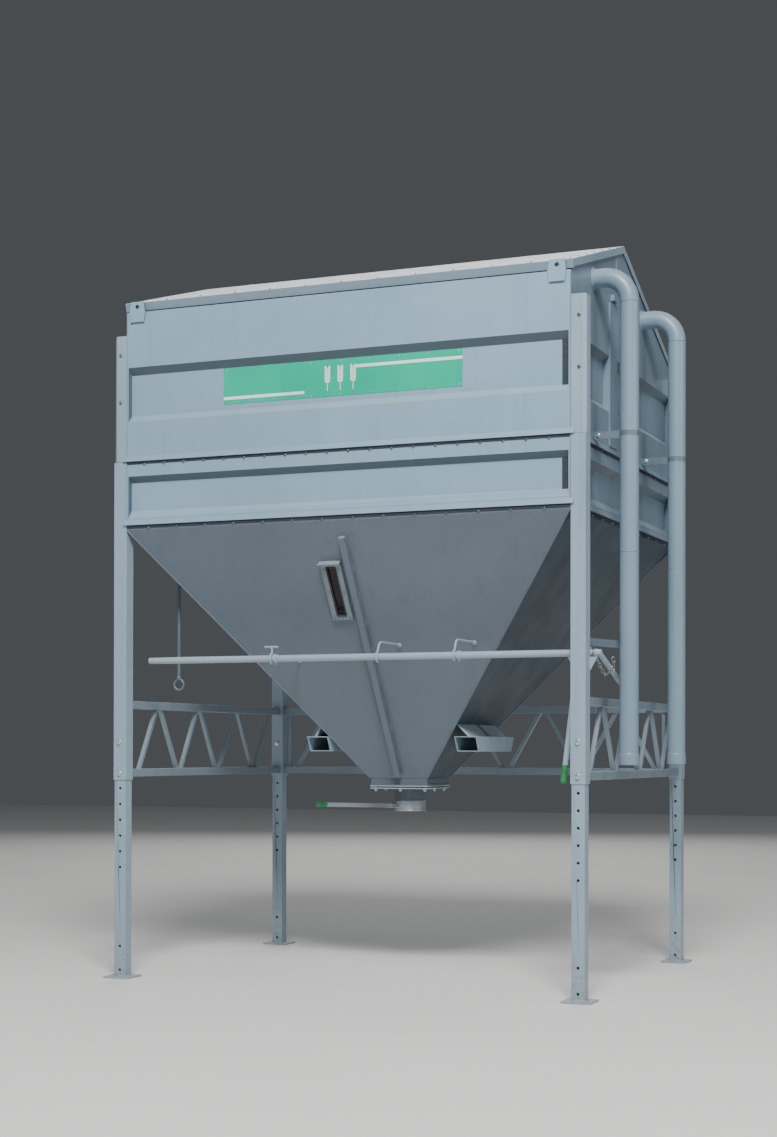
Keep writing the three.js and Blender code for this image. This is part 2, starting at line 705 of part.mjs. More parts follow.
function fillPipe(pipe, legFace) {
  const upright = (diameter, bottom, top) =>
    cylinder(diameter, [pipe.out, pipe.y, bottom], [pipe.out, pipe.y, top], PIPE_SIDES);
  const wide = PIPE_OD + 2 * COUPLING_LIP;
  const top = bendCentreZ(pipe) - GAP;
  const tube = upright(PIPE_OD, PIPE_END_Z, top);
  const coupling = upright(wide, PIPE_END_Z, PIPE_END_Z + COUPLING_LENGTH);
  const clamp = upright(wide, STAY_Z - CLAMP_HALF, STAY_Z + CLAMP_HALF);
  const stay = box(
    WALL_X + GAP,
    pipe.out - PIPE_OD / 2 + 2,
    pipe.y - STAY_T / 2,
    pipe.y + STAY_T / 2,
    STAY_Z - WALL_STAY_DEPTH / 2,
    STAY_Z + WALL_STAY_DEPTH / 2,
  );
  const body = join(tube, coupling, clamp, stay, legStay(pipe, legFace));
  return cut(body, upright(PIPE_OD - 2 * PIPE_WALL, PIPE_END_Z - 1, top + 1));
}

// A flat bar on edge from a leg's near face to a fill pipe.
function legStay(pipe, legFace) {
  const way = Math.sign(pipe.y - legFace);
  const near = new THREE.Vector2(STAY_LEG_X, legFace);
  const far = new THREE.Vector2(pipe.out - PIPE_OD / 2 + 3, pipe.y);
  const run = far.clone().sub(near);
  const bar = new THREE.BoxGeometry(run.length(), STAY_T, LEG_STAY_DEPTH);
  bar.translate(run.length() / 2, 0, 0).rotateZ(run.angle()).translate(near.x, near.y, LEG_STAY_Z);
  const block = (halfWidth, depth, halfHeight) => {
    const geometry = new THREE.BoxGeometry(2 * halfWidth, Math.abs(depth), 2 * halfHeight);
    return geometry.translate(STAY_LEG_X, legFace + depth / 2, LEG_STAY_Z);
  };
  const pad = block(14, way * STAY_T, LEG_STAY_DEPTH / 2);
  const behindLegFace = block(60, -way * 50, 60);
  return cut(join(bar, pad), behindLegFace);
}

function addFillPipes() {
  for (const pipe of PIPES) {
    const legFace = Math.sign(pipe.y) * (INNER_Y - GAP);
    add("fill_pipe_" + pipe.name, fillPipe(pipe, legFace), GREY);
    add("fill_elbow_" + pipe.name, fillElbow(pipe), GREY);
  }
}

// Operating shaft: a round bar across the front, cranked at its right end, with a hand lever
function shaftBar() {
  const bar = cylinder(SHAFT_D, [SHAFT_LEFT, SHAFT_Y, SHAFT_Z], [CRANK_X + 14, SHAFT_Y, SHAFT_Z], 12);
  const drop = THREE.MathUtils.degToRad(CRANK_DROP);
  const crankEnd = [
    CRANK_X,
    SHAFT_Y + CRANK_LENGTH * Math.cos(drop),
    SHAFT_Z - CRANK_LENGTH * Math.sin(drop),
  ];
  const crank = cylinder(LEVER_D, [CRANK_X, SHAFT_Y, SHAFT_Z], crankEnd, 12);
  const lever = cylinder(LEVER_D, [LEVER_X, SHAFT_Y, SHAFT_Z], leverPoint(LEVER_LENGTH - LEVER_GRIP), 12);
  return join(bar, crank, lever);
}

function leverPoint(distance) {
  const lean = THREE.MathUtils.degToRad(LEVER_LEAN);
  return [LEVER_X - distance * Math.sin(lean), SHAFT_Y, SHAFT_Z - distance * Math.cos(lean)];
}

function addShaft() {
  add("operating_shaft", shaftBar(), GREY);
  const grip = cylinder(40, leverPoint(LEVER_LENGTH - LEVER_GRIP + GAP), leverPoint(LEVER_LENGTH), 12);
  add("lever_grip", grip, GREEN);
}

// Eyes: flat arms from the front hopper plate that end in a ring round the operating shaft
function behindFrontPlate() {
  const top = HOPPER_TOP - HOPPER_RIM;
  return alongX(
    [
      [-HOPPER_TOP_Y - 2 * GAP, top],
      [-OUTLET_HALF - 2 * GAP, HOPPER_BOTTOM],
      [OUTLET_HALF, HOPPER_BOTTOM],
      [OUTLET_HALF, top],
    ],
    -100,
    100,
  );
}

function eye(armZ) {
  const inner = SHAFT_D / 2 + SHAFT_PLAY;
  const outer = inner + EYE_BAR;
  const half = EYE_BAR / 2;
  const plateY = -hopperHalf(armZ, HOPPER_TOP_Y);
  const ring = cylinder(2 * outer, [-half, SHAFT_Y, SHAFT_Z], [half, SHAFT_Y, SHAFT_Z], 16);
  const hole = cylinder(2 * inner, [-20, SHAFT_Y, SHAFT_Z], [20, SHAFT_Y, SHAFT_Z], 16);
  const arm = box(-half, half, SHAFT_Y - half, plateY, armZ - half, armZ + half);
  const riser = box(-half, half, SHAFT_Y - half, SHAFT_Y + half, SHAFT_Z, armZ);
  const pad = box(-half - 8, half + 8, plateY - 30, plateY, armZ - 30, armZ + 30);
  const pieces = armZ > SHAFT_Z ? [arm, riser, pad] : [arm, pad];
  return cut(join(ring, ...pieces), hole, behindFrontPlate());
}

function addEyes() {
  for (const { name, x, armZ } of EYES) {
    add(name, eye(armZ), GREY).position.x = x;
  }
}

// Fork pockets: rectangular tubes beside the hopper with bevelled ends, each hung from its side by two
// sloping plates
function forkPocket(pocket) {
  const w = POCKET_WIDTH / 2;
  const h = POCKET_HEIGHT / 2;
  const bevelled = (half, top) => {
    const foot = [[POCKET_FRONT + POCKET_BEVEL, -top], [POCKET_BACK - POCKET_BEVEL, -top]];
    return alongX([...foot, [POCKET_BACK, top], [POCKET_FRONT, top]], -half, half);
  };
  const inner = [w - POCKET_WALL, h - POCKET_WALL];
  const hole = box(-inner[0], inner[0], POCKET_FRONT - 1, POCKET_BACK + 1, -inner[1], inner[1]);
  const tube = cut(bevelled(w, h), hole);
  const sideAt = (z) => hopperHalf(POCKET_Z + z, HOPPER_TOP_X) + 1.4 * GAP - pocket.x;
  const rise = h + HANGER_RISE;
  const hanger = [
    [HANGER_X, h - 2],
    [HANGER_X + HANGER_T, h - 2],
    [sideAt(rise + 8), rise + 8],
    [sideAt(rise), rise],
  ];
  const outline = pocket.side > 0 ? hanger : hanger.map(([x, z]) => [-x, z]);
  return join(tube, ...HANGER_SPANS.map(([y0, y1]) => alongY(outline, y0, y1)));
}

function addForkPockets() {
  for (const pocket of POCKETS) {
    add(pocket.name, forkPocket(pocket), GREY).position.set(pocket.side * pocket.x, 0, POCKET_Z);
  }
}

// Hanging rod: a round bar under the left hopper plate, with an eye at its lower end
function hangingRod() {
  const rod = cylinder(ROD_D, [ROD_X, ROD_Y, ROD_BOTTOM + 40], [ROD_X, ROD_Y, ROD_TOP], 12);
  const half = 20;
  const foot = box(ROD_X - half, ROD_X + half, ROD_Y - half, ROD_Y + half, ROD_TOP - 60, ROD_TOP);
  const across = (diameter, depth) => {
    const z = ROD_BOTTOM + 16;
    return cylinder(diameter, [ROD_X, ROD_Y - depth, z], [ROD_X, ROD_Y + depth, z], 16);
  };
  const eyeRing = across(84, 5);
  const eyeHole = across(56, 9);
  const top = HOPPER_TOP - HOPPER_RIM;
  const hopper = alongY(
    [
      [-HOPPER_TOP_X - 1.4 * GAP, top],
      [-OUTLET_HALF - 1.4 * GAP, HOPPER_BOTTOM],
      [OUTLET_HALF, HOPPER_BOTTOM],
      [OUTLET_HALF, top],
    ],
    ROD_Y - 60,
    ROD_Y + 60,
  );
  return cut(join(rod, foot, eyeRing), eyeHole, hopper);
}

function addHangingRod() {
  add("hanging_rod", hangingRod(), GREY);
}

addLegs();
addGirders();
addFaceWalls();
addEndWalls();
addPosts();
addRoof();
addHopper();
const frontPlate = onFrontPlate();
addRib(frontPlate);
addSightGlass(frontPlate);
addOutlet();
addFillPipes();
addShaft();
addEyes();
addForkPockets();
addHangingRod();

const pipeSide = Math.max(...PIPES.map((pipe) => pipe.out)) + PIPE_OD / 2 + COUPLING_LIP;
const footSide = LEG_X + BASE_PLATE / 2;
bin.position.x = -(pipeSide - footSide) / 2;
const part = new THREE.Group();
part.add(bin);

export default part;
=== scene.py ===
import json
import math
import random

import bmesh
import bpy
from mathutils import Matrix, Vector


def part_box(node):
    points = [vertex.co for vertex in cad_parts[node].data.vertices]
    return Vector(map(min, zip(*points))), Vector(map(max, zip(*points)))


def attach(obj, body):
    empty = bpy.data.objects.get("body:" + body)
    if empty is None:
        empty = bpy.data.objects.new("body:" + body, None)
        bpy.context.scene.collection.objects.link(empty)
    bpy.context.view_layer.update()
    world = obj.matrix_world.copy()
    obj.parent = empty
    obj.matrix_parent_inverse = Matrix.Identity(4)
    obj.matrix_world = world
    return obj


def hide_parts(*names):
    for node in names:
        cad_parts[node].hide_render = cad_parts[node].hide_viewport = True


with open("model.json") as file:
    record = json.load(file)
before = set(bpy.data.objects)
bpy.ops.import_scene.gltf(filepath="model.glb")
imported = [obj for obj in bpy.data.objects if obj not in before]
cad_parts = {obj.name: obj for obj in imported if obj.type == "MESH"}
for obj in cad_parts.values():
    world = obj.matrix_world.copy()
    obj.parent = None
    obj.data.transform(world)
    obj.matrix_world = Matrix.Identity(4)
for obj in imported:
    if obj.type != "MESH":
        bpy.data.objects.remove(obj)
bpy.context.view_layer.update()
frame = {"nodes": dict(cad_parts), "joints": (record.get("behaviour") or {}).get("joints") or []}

# Legs, feet and corner posts. Each leg is a square sleeve of box section that slides over a drilled
# foot tube on a base plate, and carries a corner post with its outer corner folded flat. All of it
# is mild steel, welded up and sprayed with one satin grey enamel.
CORNERS = ("front_left", "front_right", "back_left", "back_right")
ENAMEL = (0.270, 0.365, 0.440)
LEG_EDGE = 0.0035


def set_sockets(tree, node, sockets):
    """Links each named socket to another node's output, or sets it to a number or colour."""
    for name, value in sockets.items():
        if isinstance(value, bpy.types.NodeSocket):
            tree.links.new(value, node.inputs[name])
        else:
            node.inputs[name].default_value = value


def shader_node(tree, kind, sockets=None, **settings):
    made = tree.nodes.new("ShaderNode" + kind)
    for name, value in settings.items():
        setattr(made, name, value)
    set_sockets(tree, made, sockets or {})
    return made


def new_finish(name):
    """A new material, with its tree, its shader, and the place on the piece as a vector."""
    material = bpy.data.materials.new(name)
    material.use_nodes = True
    tree = material.node_tree
    place = shader_node(tree, "TexCoord").outputs["Object"]
    return material, tree, tree.nodes["Principled BSDF"], place


def noise(tree, place, scale, detail=2.0, stretch=(1, 1, 1)):
    if stretch != (1, 1, 1):
        place = shader_node(tree, "Mapping", {"Vector": place, "Scale": stretch}).outputs["Vector"]
    made = shader_node(tree, "TexNoise", {"Vector": place, "Scale": scale, "Detail": detail})
    return made.outputs["Fac"]


def between(tree, value, low, high, at_low=0.0, at_high=1.0):
    sockets = {"Value": value, "From Min": low, "From Max": high, "To Min": at_low, "To Max": at_high}
    return shader_node(tree, "MapRange", sockets).outputs["Result"]


def times(tree, first, second):
    return shader_node(tree, "Math", {0: first, 1: second}, operation="MULTIPLY").outputs[0]


def blended(tree, share, first, second):
    return shader_node(tree, "MixRGB", {"Fac": share, "Color1": first, "Color2": second}).outputs["Color"]


def toned(colour, factor):
    return tuple(channel * factor for channel in colour) + (1.0,)


def bumped(tree, height, strength, distance, under=None):
    """The surface's normal, raised by a height over the normal under it."""
    sockets = {"Height": height, "Strength": strength, "Distance": distance}
    if under is not None:
        sockets["Normal"] = under
    return shader_node(tree, "Bump", sockets).outputs["Normal"]


def sprayed_enamel(
    name,
    colour,
    streaks=0.2,
    splash=0.0,
    waves=0.0,
    dust_and_sheen_colour=(0.42, 0.42, 0.40),
    dust_and_sheen_share=0.55,
    painted_shade_below=0.0,
    painted_shade_sides=0.0,
    dull=1.0,
):
    """Satin enamel over steel: orange peel, panel waves, rain streaks, rubbed edges, splashed feet.

    Faces that look up take a colour in patches: settled dust, and on the roof a pale painted sky sheen.
    Painted shade darkens faces that look down, and those that look left or right, by the share given.
    A dull of less than one takes gloss away.
    """
    material, tree, shader, place = new_finish(name)
    # A dark copy of the colour, used as painted shade.
    shade_tone = toned(colour, 0.22)
    cloud = between(tree, noise(tree, place, 1.3, 3.0), 0.3, 0.7)
    skin = blended(tree, cloud, toned(colour, 0.93), toned(colour, 1.06))
    mottle = between(tree, noise(tree, place, 24.0, 4.0), 0.35, 0.75, 0.0, 0.35)
    skin = blended(tree, mottle, skin, toned(colour, 0.90))
    runs = between(tree, noise(tree, place, 1.0, 5.0, (13, 13, 0.55)), 0.54, 0.78, 0.0, streaks)
    skin = blended(tree, runs, skin, toned(colour, 0.66))
    pale_runs = between(tree, noise(tree, place, 1.0, 4.0, (19, 19, 0.8)), 0.6, 0.8, 0.0, streaks * 0.7)
    skin = blended(tree, pale_runs, skin, toned(colour, 1.28))
    facing = shader_node(tree, "NewGeometry").outputs["Normal"]
    way = shader_node(tree, "SeparateXYZ", {"Vector": facing}).outputs
    # Painted shade on faces that look down.
    if painted_shade_below:
        skin = blended(tree, between(tree, way["Z"], -0.2, -0.45, 0.0, painted_shade_below), skin, shade_tone)
    # Painted shade on faces that look left or right, such as the trays' ends.
    if painted_shade_sides:
        sideways = shader_node(tree, "Math", {0: way["X"]}, operation="ABSOLUTE").outputs[0]
        skin = blended(tree, between(tree, sideways, 0.6, 0.9, 0.0, painted_shade_sides), skin, shade_tone)
    # Faces that look up take the dust colour in patches: real dust, and on the roof a painted sky sheen.
    patches = between(tree, noise(tree, place, 7.0, 4.0), 0.3, 0.7, 0.35, 1.0)
    dust = times(tree, between(tree, way["Z"], 0.35, 0.95, 0.0, dust_and_sheen_share), patches)
    skin = blended(tree, dust, skin, toned(dust_and_sheen_colour, 1.0))
    height = shader_node(tree, "SeparateXYZ", {"Vector": place}).outputs["Z"]
    low = between(tree, height, 0.02, 0.42, splash, 0.0)
    spots = between(tree, noise(tree, place, 60.0, 5.0), 0.5, 0.66)
    skin = blended(tree, times(tree, low, spots), skin, (0.27, 0.22, 0.16, 1.0))
    softened = shader_node(tree, "Bevel", {"Radius": 0.004}, samples=4).outputs["Normal"]
    turn = shader_node(tree, "VectorMath", {0: softened, 1: facing}, operation="DOT_PRODUCT")
    edge = between(tree, turn.outputs["Value"], 0.99, 0.86, 0.0, 0.55)
    rubbed = times(tree, edge, between(tree, noise(tree, place, 38.0, 3.0), 0.4, 0.65))
    skin = blended(tree, rubbed, skin, toned(colour, 1.35))
    satin = between(tree, noise(tree, place, 5.0, 3.0), 0.3, 0.7, 0.36, 0.50)
    rough = shader_node(tree, "Math", {0: satin, 1: times(tree, dust, 0.5)}, operation="ADD").outputs[0]
    peel = bumped(tree, noise(tree, place, 420.0, 1.0), 0.12, 0.0006)
    relief = bumped(tree, noise(tree, place, 2.1, 1.0), waves, 0.012, peel)
    set_sockets(tree, shader, {"Base Color": skin, "Roughness": rough, "Normal": relief})
    gloss = {"Specular IOR Level": 0.5 * dull, "Coat Weight": 0.12 * dull, "Coat Roughness": 0.25}
    set_sockets(tree, shader, gloss)
    return material


def rounded(piece, width):
    """Rounds a piece's edges, as folded or sawn steel is."""
    edge = piece.modifiers.new("rounded edges", "BEVEL")
    edge.width = width
    edge.segments = 2
    edge.limit_method = "ANGLE"
    edge.angle_limit = math.radians(32)
    edge.harden_normals = True
    return piece


def finish_nodes(names, material, edge):
    """Gives CAD nodes their material, with their corners joined and their edges rounded."""
    for name in names:
        node = frame["nodes"][name]
        for slot in node.material_slots:
            slot.material = material
        weld = node.modifiers.new("joined corners", "WELD")
        weld.merge_threshold = 0.00002
        rounded(node, edge)


leg_enamel = sprayed_enamel("leg_enamel", ENAMEL, streaks=0.25, splash=0.8, waves=0.05)
for part in ("leg_", "foot_", "post_"):
    finish_nodes([part + corner for corner in CORNERS], leg_enamel, LEG_EDGE)


def middle_of(node):
    low_corner, high_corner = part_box(node)
    return (low_corner + high_corner) / 2


leg_axis = {corner: middle_of("foot_" + corner) for corner in CORNERS}
LEG_HALF = (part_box("post_front_left")[1].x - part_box("post_front_left")[0].x) / 2
FOOT_HALF = 0.040
BASE_TOP = 0.012


# Foot welds. A continuous fillet joins each foot tube to its base plate, laid by hand in short
# overlapping ripples and painted over with the rest.
X_AXIS, Y_AXIS = Vector((1, 0, 0)), Vector((0, 1, 0))


def arc(centre, radius, first, last, steps, side, other):
    """Points of an arc in the plane of side and other, between two angles in degrees from side."""
    turns = [math.radians(first + (last - first) * i / steps) for i in range(steps + 1)]
    return [Vector(centre) + side * (radius * math.cos(t)) + other * (radius * math.sin(t)) for t in turns]


def circle(centre, radius, count, side=X_AXIS, other=Y_AXIS):
    return arc(centre, radius, 0, 360, count, side, other)[:-1]


def oblong(left, low, right, high):
    return [(left, low), (right, low), (right, high), (left, high)]


def add_skirt(solid, near, far):
    """Faces that join two rings of corners."""
    for i in range(len(near)):
        j = (i + 1) % len(near)
        solid.faces.new((near[i], near[j], far[j], far[i]))


def add_swept(solid, path, radius, sides=10, closed=False, bore=0.0):
    """A round bar along a path of points, or a tube if it has a bore. Radius may be a list."""
    points = [Vector(point) for point in path]
    count = len(points)
    radii = radius if isinstance(radius, list) else [radius] * count
    rings, bores = [], []
    side = None
    for i, point in enumerate(points):
        ahead = points[(i + 1) % count] - point if closed or i + 1 < count else Vector()
        behind = point - points[i - 1] if closed or i > 0 else Vector()
        along = (ahead.normalized() + behind.normalized()).normalized()
        side = along.orthogonal() if side is None else side - along * side.dot(along)
        side.normalize()
        for layer, size in ((rings, radii[i]), (bores, bore)):
            if size:
                ring = circle(point, size, sides, side, along.cross(side))
                layer.append([solid.verts.new(corner) for corner in ring])
    for layer in (rings, bores):
        for near, far in zip(layer, layer[1:] + layer[:1] if closed else layer[1:]):
            add_skirt(solid, near, far)
    if closed:
        return
    for end in (0, -1):
        if bore:
            add_skirt(solid, rings[end], bores[end])
        else:
            solid.faces.new(rings[end])


def make_piece(name, solid, material, body="root", sharp=35):
    bmesh.ops.recalc_face_normals(solid, faces=solid.faces)
    mesh = bpy.data.meshes.new(name)
    solid.to_mesh(mesh)
    solid.free()
    mesh.materials.append(material)
    mesh.polygons.foreach_set("use_smooth", [True] * len(mesh.polygons))
    mesh.set_sharp_from_angle(angle=math.radians(sharp))
    piece = bpy.data.objects.new(name, mesh)
    bpy.context.scene.collection.objects.link(piece)
    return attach(piece, body)


def straight(start, end, steps=6):
    return [start.lerp(end, i / steps) for i in range(steps + 1)]


def add_weld(solid, start, end, radius, hand, pitch=0.007):
    """A bead from start to end, rippled by the hand that laid it."""
    start, end = Vector(start), Vector(end)
    count = max(4, int((end - start).length / pitch))
    path = straight(start, end, count)
    swell = [radius * (0.88 + 0.24 * (i % 2) + hand.uniform(-0.08, 0.08)) for i in range(count + 1)]
    swell[0] = swell[-1] = radius * 0.45
    add_swept(solid, path, swell, sides=8)


WIDE_FILLET = 0.0055
hand = random.Random(11)
solid = bmesh.new()
for corner in CORNERS:
    foot = Vector((leg_axis[corner].x, leg_axis[corner].y, BASE_TOP + 0.001))
    sides = oblong(-FOOT_HALF, -FOOT_HALF, FOOT_HALF, FOOT_HALF)
    corners = [foot + Vector((x, y, 0)) for x, y in sides]
    for a, b in zip(corners, corners[1:] + corners[:1]):
        add_weld(solid, a, b, WIDE_FILLET, hand)
make_piece("foot_welds", solid, leg_enamel, sharp=60)


# Locking bolts. Two zinc-plated bolts on each leg pass through sleeve and foot, and fix its height.
# Each has a chamfered hexagon head on a washer in front, and a washer and nut behind.
BOLT_SIZE = 0.0185
LOCK_HEIGHTS = (1.297, 1.494)
HEXAGON = 0.86
RUST = (0.22, 0.10, 0.04, 1.0)


def bright_zinc(name, colour, rust):
    """Zinc plate with dull patches and specks of rust."""
    material, tree, shader, place = new_finish(name)
    tarnish = between(tree, noise(tree, place, 90.0, 4.0), 0.35, 0.7)
    skin = blended(tree, tarnish, toned(colour, 1.0), toned(colour, 0.72))
    specks = between(tree, noise(tree, place, 260.0, 3.0), 0.62, 0.74, 0.0, rust)
    skin = blended(tree, specks, skin, RUST)
    rough = between(tree, tarnish, 0.0, 1.0, 0.24, 0.46)
    relief = bumped(tree, noise(tree, place, 700.0), 0.15, 0.0003)
    set_sockets(tree, shader, {"Base Color": skin, "Roughness": rough, "Normal": relief, "Metallic": 0.85})
    return material


def add_turned(solid, foot, along, profile, sides=24):
    """A body of revolution: each (height, radius) of the profile is a ring about the line along."""
    foot, along = Vector(foot), Vector(along).normalized()
    side = along.orthogonal().normalized()
    rings = []
    for height, radius in profile:
        ring = circle(foot + along * height, radius, sides, side, along.cross(side))
        rings.append([solid.verts.new(point) for point in ring])
    for near, far in zip(rings, rings[1:]):
        add_skirt(solid, near, far)
    solid.faces.new(rings[0])
    solid.faces.new(rings[-1])


def add_washer(solid, seat, out, size):
    rim = 0.95 * size
    add_turned(solid, seat, out, [(-0.001, rim), (0.12 * size, rim), (0.16 * size, 0.9 * rim)], 24)


def add_bolt_head(solid, seat, out, size):
    add_washer(solid, seat, out, size)
    head = HEXAGON * size
    chamfer = [(0.74 * size, 0.84 * head), (0.75 * size, 0.8 * head)]
    add_turned(solid, seat, out, [(0.14 * size, head), (0.62 * size, head)] + chamfer, 6)


def add_nut(solid, seat, out, size):
    """A washer, a nut and the end of its bolt."""
    add_washer(solid, seat, out, size)
    nut = HEXAGON * size
    profile = [(0.14 * size, 0.9 * nut), (0.2 * size, nut), (0.86 * size, nut), (0.96 * size, 0.86 * nut)]
    add_turned(solid, seat, out, profile, 6)
    thread = [(0.9 * size, 0.48 * size), (1.3 * size, 0.48 * size), (1.36 * size, 0.4 * size)]
    add_turned(solid, seat, out, thread, 16)


bolt_zinc = bright_zinc("bolt_zinc", (0.66, 0.74, 0.80), rust=0.04)
solid = bmesh.new()
for corner in CORNERS:
    centre = leg_axis[corner]
    for height in LOCK_HEIGHTS:
        add_bolt_head(solid, (centre.x, centre.y - LEG_HALF, height), -Y_AXIS, BOLT_SIZE)
        add_nut(solid, (centre.x, centre.y + LEG_HALF, height), Y_AXIS, BOLT_SIZE)
make_piece("locking_bolts", solid, bolt_zinc)


# Girders. The left, right and back sides are stiffened by a welded truss between the legs: two
# square chords with zigzag lacing, each lacing bar welded where it meets a chord.
CHORD = 0.050
LACING_PITCH = 0.277
LACING_SET = 0.015
LACING_HALF = 0.013
FILLET = 0.0045
# The girders' enamel is darkened, as painted shade under the hopper.
girder_shade_enamel = sprayed_enamel("girder_shade_enamel", (0.185, 0.245, 0.295), streaks=0.3, waves=0.05)
finish_nodes(["girder_left", "girder_right", "girder_back"], girder_shade_enamel, 0.003)

hand = random.Random(23)
solid = bmesh.new()
for girder, panels in (("girder_left", 7), ("girder_right", 7), ("girder_back", 10)):
    low_corner, high_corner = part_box(girder)
    middle = middle_of(girder)
    lengthwise, across = (X_AXIS, Y_AXIS) if girder == "girder_back" else (Y_AXIS, X_AXIS)
    rise = high_corner.z - low_corner.z - CHORD
    slope = (LACING_PITCH - 2 * LACING_SET) / rise
    for i in range(panels):
        start = (i - panels / 2) * LACING_PITCH + LACING_SET
        end = start + LACING_PITCH - 2 * LACING_SET
        at_bottom, at_top = (start, end) if i % 2 == 0 else (end, start)
        lean = math.copysign(slope * CHORD / 2, at_top - at_bottom)
        for along, height in (
            (at_bottom + lean, low_corner.z + CHORD),
            (at_top - lean, high_corner.z - CHORD),
        ):
            for face in (-1, 1):
                seat = Vector((middle.x, middle.y, height)) + lengthwise * along + across * face * LACING_HALF
                half = lengthwise * (LACING_HALF * 1.1)
                add_weld(solid, seat - half, seat + half, FILLET, hand)
make_piece("girder_welds", solid, girder_shade_enamel, sharp=60)


# Walls. Eight panels of folded sheet make the store: a shallow lower ring and a tall upper ring,
# each panel stiffened by one pressed tray. A drip lip at the foot of each ring covers its joint.
SHEET_ENAMEL = (0.240, 0.365, 0.475)
# The end walls are painted a darker copy of the sheet colour, as painted shade on those sides.
END_WALL_PAINTED_SHADE = (0.160, 0.228, 0.290)
# Both wall enamels paint shade on faces that look down; the long walls' enamel also on faces that look
# sideways.
wall_enamel = sprayed_enamel("wall_enamel", SHEET_ENAMEL, streaks=0.22, waves=0.5, painted_shade_below=0.9, painted_shade_sides=0.9)
end_wall_shade_enamel = sprayed_enamel("end_wall_painted_shade_enamel", END_WALL_PAINTED_SHADE, streaks=0.3, waves=0.5, painted_shade_below=0.7)
for ring in ("lower_wall_", "upper_wall_"):
    finish_nodes([ring + side for side in ("front", "back")], wall_enamel, 0.0025)
    finish_nodes([ring + side for side in ("left", "right")], end_wall_shade_enamel, 0.0025)

SET_IN = 0.0003
FRONT_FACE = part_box("post_front_left")[0].y + SET_IN
BACK_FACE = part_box("post_back_left")[1].y - SET_IN
LIP_PROUD = 0.012
LEFT_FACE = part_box("upper_wall_left")[0].x + LIP_PROUD
RIGHT_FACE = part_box("upper_wall_right")[1].x - LIP_PROUD
MIDDLE_X = (LEFT_FACE + RIGHT_FACE) / 2
SEAM_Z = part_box("upper_wall_front")[0].z
RIM_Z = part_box("lower_wall_front")[0].z


# Ring joint bolts. Small painted bolt heads stand in a row just under each drip lip, closer
# together at the seam between the rings than at the hopper's rim.
JOINT_BOLT = 0.009
SEAM_PITCH = 0.145
RIM_PITCH = 0.215
UNDER_LIP = 0.020
LONG_SIDE_INSET, END_WALL_INSET = 0.060, 0.120


def add_joint_row(solid, start, end, out, pitch):
    start, end = Vector(start), Vector(end)
    count = int((end - start).length / pitch)
    for i in range(count + 1):
        seat = start.lerp(end, (i + 0.5) / (count + 1))
        add_bolt_head(solid, seat, out, JOINT_BOLT)


left, right = LEFT_FACE + LONG_SIDE_INSET, RIGHT_FACE - LONG_SIDE_INSET
front, back = FRONT_FACE + END_WALL_INSET, BACK_FACE - END_WALL_INSET
solid = bmesh.new()
for height, pitch in ((SEAM_Z - UNDER_LIP, SEAM_PITCH), (RIM_Z - UNDER_LIP, RIM_PITCH)):
    for start, end, out in (
        ((left, FRONT_FACE, height), (right, FRONT_FACE, height), -Y_AXIS),
        ((left, BACK_FACE, height), (right, BACK_FACE, height), Y_AXIS),
        ((LEFT_FACE, front, height), (LEFT_FACE, back, height), -X_AXIS),
        ((RIGHT_FACE, front, height), (RIGHT_FACE, back, height), X_AXIS),
    ):
        add_joint_row(solid, start, end, out, pitch)
joint_zinc = bright_zinc("painted_joint_bolts", (0.23, 0.28, 0.32), rust=0.3)
make_piece("ring_joint_bolts", solid, joint_zinc)


# Painted shadows. Dark strips stand in the corner under each drip lip, and in one end of each tray on
# the two long sides, the right one as seen from outside, where it meets the corner post.
TRAY_DEPTH = 0.038
TRAY_SPANS = ((RIM_Z + 0.088, RIM_Z + 0.276), (SEAM_Z + 0.286, SEAM_Z + 0.556))
TRAY_END_INSET, TRAY_END_WIDTH = 0.0185, 0.044
TRAY_END_SUNK, TRAY_END_PROUD = 0.001, 0.004
LIP_SHADOW_TALL = 0.019
LIP_SHADOW_SUNK, LIP_SHADOW_PROUD = 0.002, 0.003
LONG_SIDE_GAP, END_WALL_GAP = 0.006, 0.100


def add_plate(solid, corners, thickness):
    """A flat plate: corners in order round its face, and the vector of its thickness."""
    near = [solid.verts.new(Vector(point)) for point in corners]
    far = [solid.verts.new(Vector(point) + Vector(thickness)) for point in corners]
    solid.faces.new(near)
    solid.faces.new(far)
    add_skirt(solid, near, far)


def add_box(solid, low, high):
    sides = oblong(low[0], low[1], high[0], high[1])
    add_plate(solid, [(x, y, low[2]) for x, y in sides], (0, 0, high[2] - low[2]))


def through(face, out, sunk, proud):
    """Both sides of a plate that is set in a face, the lower one first. Out is 1 or -1."""
    return sorted((face - out * sunk, face + out * proud))


def rubbery_finish(name, colour):
    """A rubbery finish, lumpy and a little dirty: for sealant, rubber, and dark strips of painted shadow."""
    material, tree, shader, place = new_finish(name)
    soiled = between(tree, noise(tree, place, 40.0, 4.0), 0.4, 0.7)
    skin = blended(tree, soiled, toned(colour, 1.1), toned(colour, 0.7))
    relief = bumped(tree, noise(tree, place, 120.0), 0.4, 0.001)
    set_sockets(tree, shader, {"Base Color": skin, "Roughness": 0.7, "Normal": relief})
    return material


